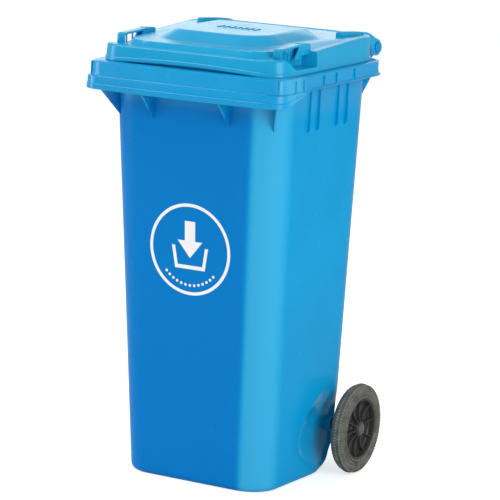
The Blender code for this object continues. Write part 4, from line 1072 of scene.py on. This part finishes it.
for step in range(13):
    share = step / 12
    spoke_edge.append((
        lerp(HUB_END - 0.0014, 0.2392, share) - SPOKE_DIP * 4 * share * (1 - share),
        lerp(HUB_RADIUS - 0.001, RING_RADIUS + 0.001, share),
    ))
spoke_foot = [(WEB_X[0] + 0.002, RING_RADIUS + 0.001), (WEB_X[0] + 0.002, HUB_RADIUS - 0.001)]
spoke_rows = []
for across, drop in (
    (-0.0015, 0.0008), (-0.00115, 0.0002), (-0.0005, 0.0),
    (0.0005, 0.0), (0.00115, 0.0002), (0.0015, 0.0008),
):
    edge = [(x - drop, radius) for x, radius in spoke_edge]
    spoke_rows.append([Vector((x, across, radius)) for x, radius in edge + spoke_foot])
spokes = repeated(skinned(spoke_rows), SPOKES, SPOKE_START - 90.0, rim_grey)
tower = eased_edges(box_between(
    (GROOVE_X - TOWER_HALF, AXLE_Y - TOWER_HALF, AXLE_Z + HUB_RADIUS - 0.003),
    (GROOVE_X + TOWER_HALF, AXLE_Y + TOWER_HALF, AXLE_Z + TOWER_HEIGHT),
), 0.0006, 2)
rim = made("rim", gathered([turned(rim_profile, axle_line, 96), spokes, tower]), rim_grey)
pocket = bmesh.new()
bmesh.ops.create_cone(
    pocket, cap_ends=True, segments=24, radius1=POCKET_RADIUS, radius2=POCKET_RADIUS, depth=POCKET_DEPTH,
    matrix=Matrix.Translation((GROOVE_X, AXLE_Y, AXLE_Z + POCKET_DEPTH / 2)),
)
cut(rim, pocket, crossing=True)
for side_name, solid in by_side(taken(rim)):
    piece = made("rim_" + side_name, solid, rim_grey, 32)
    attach(piece, "wheel_" + side_name)
    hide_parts("wheel_rim_" + side_name)


# ---- Hub caps: domed grey plastic discs pressed into the hubs' ends
# Each hides the end of the axle. Its skirt is a push fit in the hub's bore.
cap_grey = plastic("cap_grey", (0.098, 0.097, 0.093), 0.36, 0.35, 1100.0)
CAP_RADIUS, CAP_RISE = 0.0125, 0.0046
cap_profile = [
    (HUB_END - 0.0045, AXIS_HAIR), (HUB_END - 0.0045, 0.0088), (HUB_END, 0.009),
    (HUB_END + 0.0001, CAP_RADIUS),
]
for step in range(1, 13):
    turn = step / 12 * pi / 2
    cap_profile.append((HUB_END + 0.0008 + (CAP_RISE - 0.0008) * sin(turn),
                        max(CAP_RADIUS * cos(turn), AXIS_HAIR)))
for side_name, solid in by_side(turned(cap_profile, axle_line, 48)):
    piece = made("cap_" + side_name, solid, cap_grey, 30)
    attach(piece, "wheel_" + side_name)
    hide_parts("hub_cap_" + side_name)


# ---- Tyres: solid grey rubber rings pressed over the rims
# Cast with a raised ridge round the tread and one on its outer shoulder, both crossed by short ribs,
# and with raised rings about the opening.
def rubber(name, colour):
    """Cast rubber: dusty grey with pale specks, a rubbed tread and a coarse matt skin."""
    material, tree, shader = material_nodes(name, {"Specular IOR Level": 0.25})
    place = added(tree, "TexCoord")
    dust, pores = noise(tree, 60.0, 6.0), noise(tree, 700.0, 3.0)
    tone = colour_ramp(tree, [(0.36, shaded(colour, 0.72)), (0.66, shaded(colour, 1.35))])
    specks = colour_ramp(tree, [(0.6, (0.0, 0.0, 0.0, 1.0)), (0.72, (0.5, 0.5, 0.5, 1.0))])
    off_axle = added(tree, "VectorMath", {1: axle_line}, operation="SUBTRACT")
    flat = added(tree, "VectorMath", {1: (0.0, 1.0, 1.0)}, operation="MULTIPLY")
    reach = added(tree, "VectorMath", operation="LENGTH")
    split = added(tree, "SeparateXYZ")
    out_x = added(tree, "Math", operation="ABSOLUTE")
    section = added(tree, "CombineXYZ")
    shoulder = {1: (SHOULDER_X, SHOULDER_RADIUS, 0.0)}
    from_edge = added(tree, "VectorMath", shoulder, operation="DISTANCE")
    worn, wear = (added(tree, "Math", operation="MAXIMUM") for _ in range(2))
    rubbed = added(tree, "Mix", {"B": shaded(colour, 2.8)}, data_type="RGBA")
    bump = added(tree, "Bump", {"Strength": 0.5, "Distance": 0.0002})
    gloss = added(tree, "MapRange", {"To Min": 0.62, "To Max": 0.85})
    tread = ramp(tree, reach, "Value", 0.0, 0.1, ((0.0, 0), (0.0968, 0), (0.0976, 0.6), (0.1, 0.6)))
    edge = ramp(tree, from_edge, "Value", 0.0, 0.01, ((0.0, 0.6), (0.0012, 0.6), (0.002, 0)))
    link(
        tree,
        (place, "Object", "Vector", dust, "Fac", "Fac", tone, "Color", "A", rubbed),
        (place, "Object", "Vector", pores, "Fac", "Fac", specks, "Color", 0, wear),
        (place, "Object", 0, off_axle, 0, 0, flat, 0, 0, reach, "Value", "Y", section, 0, 0, from_edge),
        (place, "Object", 0, split, "X", 0, out_x, 0, "X", section),
        (tread, "Color", 0, worn, 0, 1, wear, 0, "Factor", rubbed, "Result", "Base Color", shader),
        (edge, "Color", 1, worn), (pores, "Fac", "Height", bump, "Normal", "Normal", shader),
        (dust, "Fac", "Value", gloss, "Result", "Roughness", shader),
    )
    return material


TYRE_RADIUS = 0.098
TYRE_RIBS, RIB_SIDE, HALF_PITCH = 92, 0.0013, 1.96
SHOULDER_X, SHOULDER_RADIUS = 0.2388, 0.0954
tyre_grey = rubber("tyre_grey", (0.126, 0.124, 0.114))
tyre_profile = [
    (0.219, 0.0655), (0.24, 0.066), (0.242, 0.0668), (0.2436, 0.0682), (0.245, 0.07), (0.245, 0.0714),
    (0.2438, 0.0726), (0.2418, 0.0732), (0.2416, 0.0742), (0.2432, 0.075), (0.2442, 0.0764), (0.2441, 0.079),
    (0.2428, 0.08), (0.2418, 0.0806), (0.2421, 0.0818), (0.2428, 0.084), (0.2416, 0.0885), (0.2396, 0.0925),
    (0.2375, 0.0944), (0.235, 0.0953), (0.2312, 0.0961), (0.2302, 0.096), (0.2298, 0.0966), (0.229, 0.097),
    (0.228, 0.097), (0.2272, 0.0966), (0.2268, 0.096), (0.223, 0.0957), (0.22, 0.0945), (0.2172, 0.0922),
    (0.2154, 0.0893), (0.2144, 0.086), (0.2142, 0.08), (0.214, 0.074), (0.215, 0.069), (0.217, 0.0665),
]
shoulder_rib = extruded((
    (0.235, 0.0938), (0.2398, 0.091), (0.2407, 0.0922), (0.2403, 0.0942), (0.2392, 0.0958), (0.2372, 0.0967),
    (0.2352, 0.0962),
), 1, -RIB_SIDE, RIB_SIDE)
tread_rib = extruded((
    (0.2264, 0.0945), (0.2306, 0.0945), (0.2306, 0.0972), (0.2299, TYRE_RADIUS), (0.2271, TYRE_RADIUS),
    (0.2264, 0.0972),
), 1, -RIB_SIDE, RIB_SIDE)
tyre_solid = gathered([
    turned(tyre_profile, axle_line, 120),
    repeated(shoulder_rib, TYRE_RIBS, 0.0, tyre_grey), repeated(tread_rib, TYRE_RIBS, HALF_PITCH, tyre_grey),
])
for side_name, solid in by_side(tyre_solid):
    piece = made("tyre_ring_" + side_name, solid, tyre_grey, 40)
    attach(piece, "wheel_" + side_name)
    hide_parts("tyre_" + side_name)


# ---- Lid bars: a plain row of raised bars on the flat of the lid
# They are moulded with the lid, from front to back across its middle, and stand for cast lettering.
BARS, BAR_PITCH, BAR_HALF, BAR_PROUD = 7, 0.0145, 0.0028, 0.0015
BAR_SPAN = (-0.052, -0.026)


def row_tree():
    """Repeats a part in a straight row: how many, where the first stands, the step and material."""
    extras = [("First", "Vector"), ("Step", "Vector")]
    tree, given, spots, copies, real = repeat_tree("straight_row", extras, "Row")
    link(
        tree,
        (given, "First", "Start Location", spots), (given, "Step", "Offset", spots),
        (copies, "Instances", "Geometry", real),
    )
    return tree


bar_profile = [(y, lid_top(0.0, y) + rise) for y, rise in (
    (BAR_SPAN[0], -0.001), (BAR_SPAN[0] + 0.0006, BAR_PROUD),
    (BAR_SPAN[1] - 0.0006, BAR_PROUD), (BAR_SPAN[1], -0.001),
)]
bars = grown(extruded(bar_profile, 0, -BAR_HALF, BAR_HALF), row_tree(), {
    "Count": BARS, "First": (-BAR_PITCH * (BARS - 1) / 2, 0.0, 0.0), "Step": (BAR_PITCH, 0.0, 0.0),
    "Material": lid_blue,
}, lid_blue)
bar_row = made("lid_bars", gathered([bars]), lid_blue, 30)
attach(bar_row, "lid_body")


# ---- Front mark: a plain white print on the sloping front wall
# A ring with an arrow that drops into an open tray, and a row of dots below it. It is a hot-stamped
# foil, so it stands a hair proud of the plastic.
foil_white = plastic("foil_white", (0.93, 0.94, 0.94), 0.42, 0.35, 800.0, 0.00003, 0.02)
MARK_Z, MARK_RADIUS, MARK_STROKE = 0.508, 0.0975, 0.0068
MARK_PROUD, MARK_ROOT = 0.00035, 0.001
DOT_ROW_RADIUS, DOT_RADIUS = 0.0765, 0.003


def on_front(outline, proud):
    """Points across and up the front wall from the mark's middle, a little proud of the wall."""
    return [Vector((u, tub_size(MARK_Z + v)[1] - proud, MARK_Z + v)) for u, v in outline]


def stamped(outline, hole=None):
    """A thin raised print with the given outline, or a ring between two outlines."""
    if hole is None:
        return skinned([on_front(outline, proud) for proud in (-MARK_ROOT, MARK_PROUD)])
    rows = ((outline, -MARK_ROOT), (outline, MARK_PROUD), (hole, MARK_PROUD), (hole, -MARK_ROOT))
    return skinned([on_front(points, proud) for points, proud in rows], closed=True)


mark_parts = [
    stamped(circle_points(MARK_RADIUS, 128), circle_points(MARK_RADIUS - MARK_STROKE, 128)),
    stamped([
        (0.0, -0.018), (0.03, 0.018), (0.0125, 0.018), (0.0125, 0.06), (-0.0125, 0.06), (-0.0125, 0.018),
        (-0.03, 0.018),
    ]),
    stamped([
        (-0.044, 0.006), (-0.0365, 0.006), (-0.03, -0.034), (0.03, -0.034), (0.0365, 0.006), (0.044, 0.006),
        (0.036, -0.042), (-0.036, -0.042),
    ]),
]
for u, v in arc((0.0, 0.0), DOT_ROW_RADIUS, -138, -42, 12):
    mark_parts.append(stamped(circle_points(DOT_RADIUS, 16, u, v)))
mark = made("front_mark", gathered(mark_parts), foil_white, 30)
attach(mark, "bin")

low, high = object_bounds()
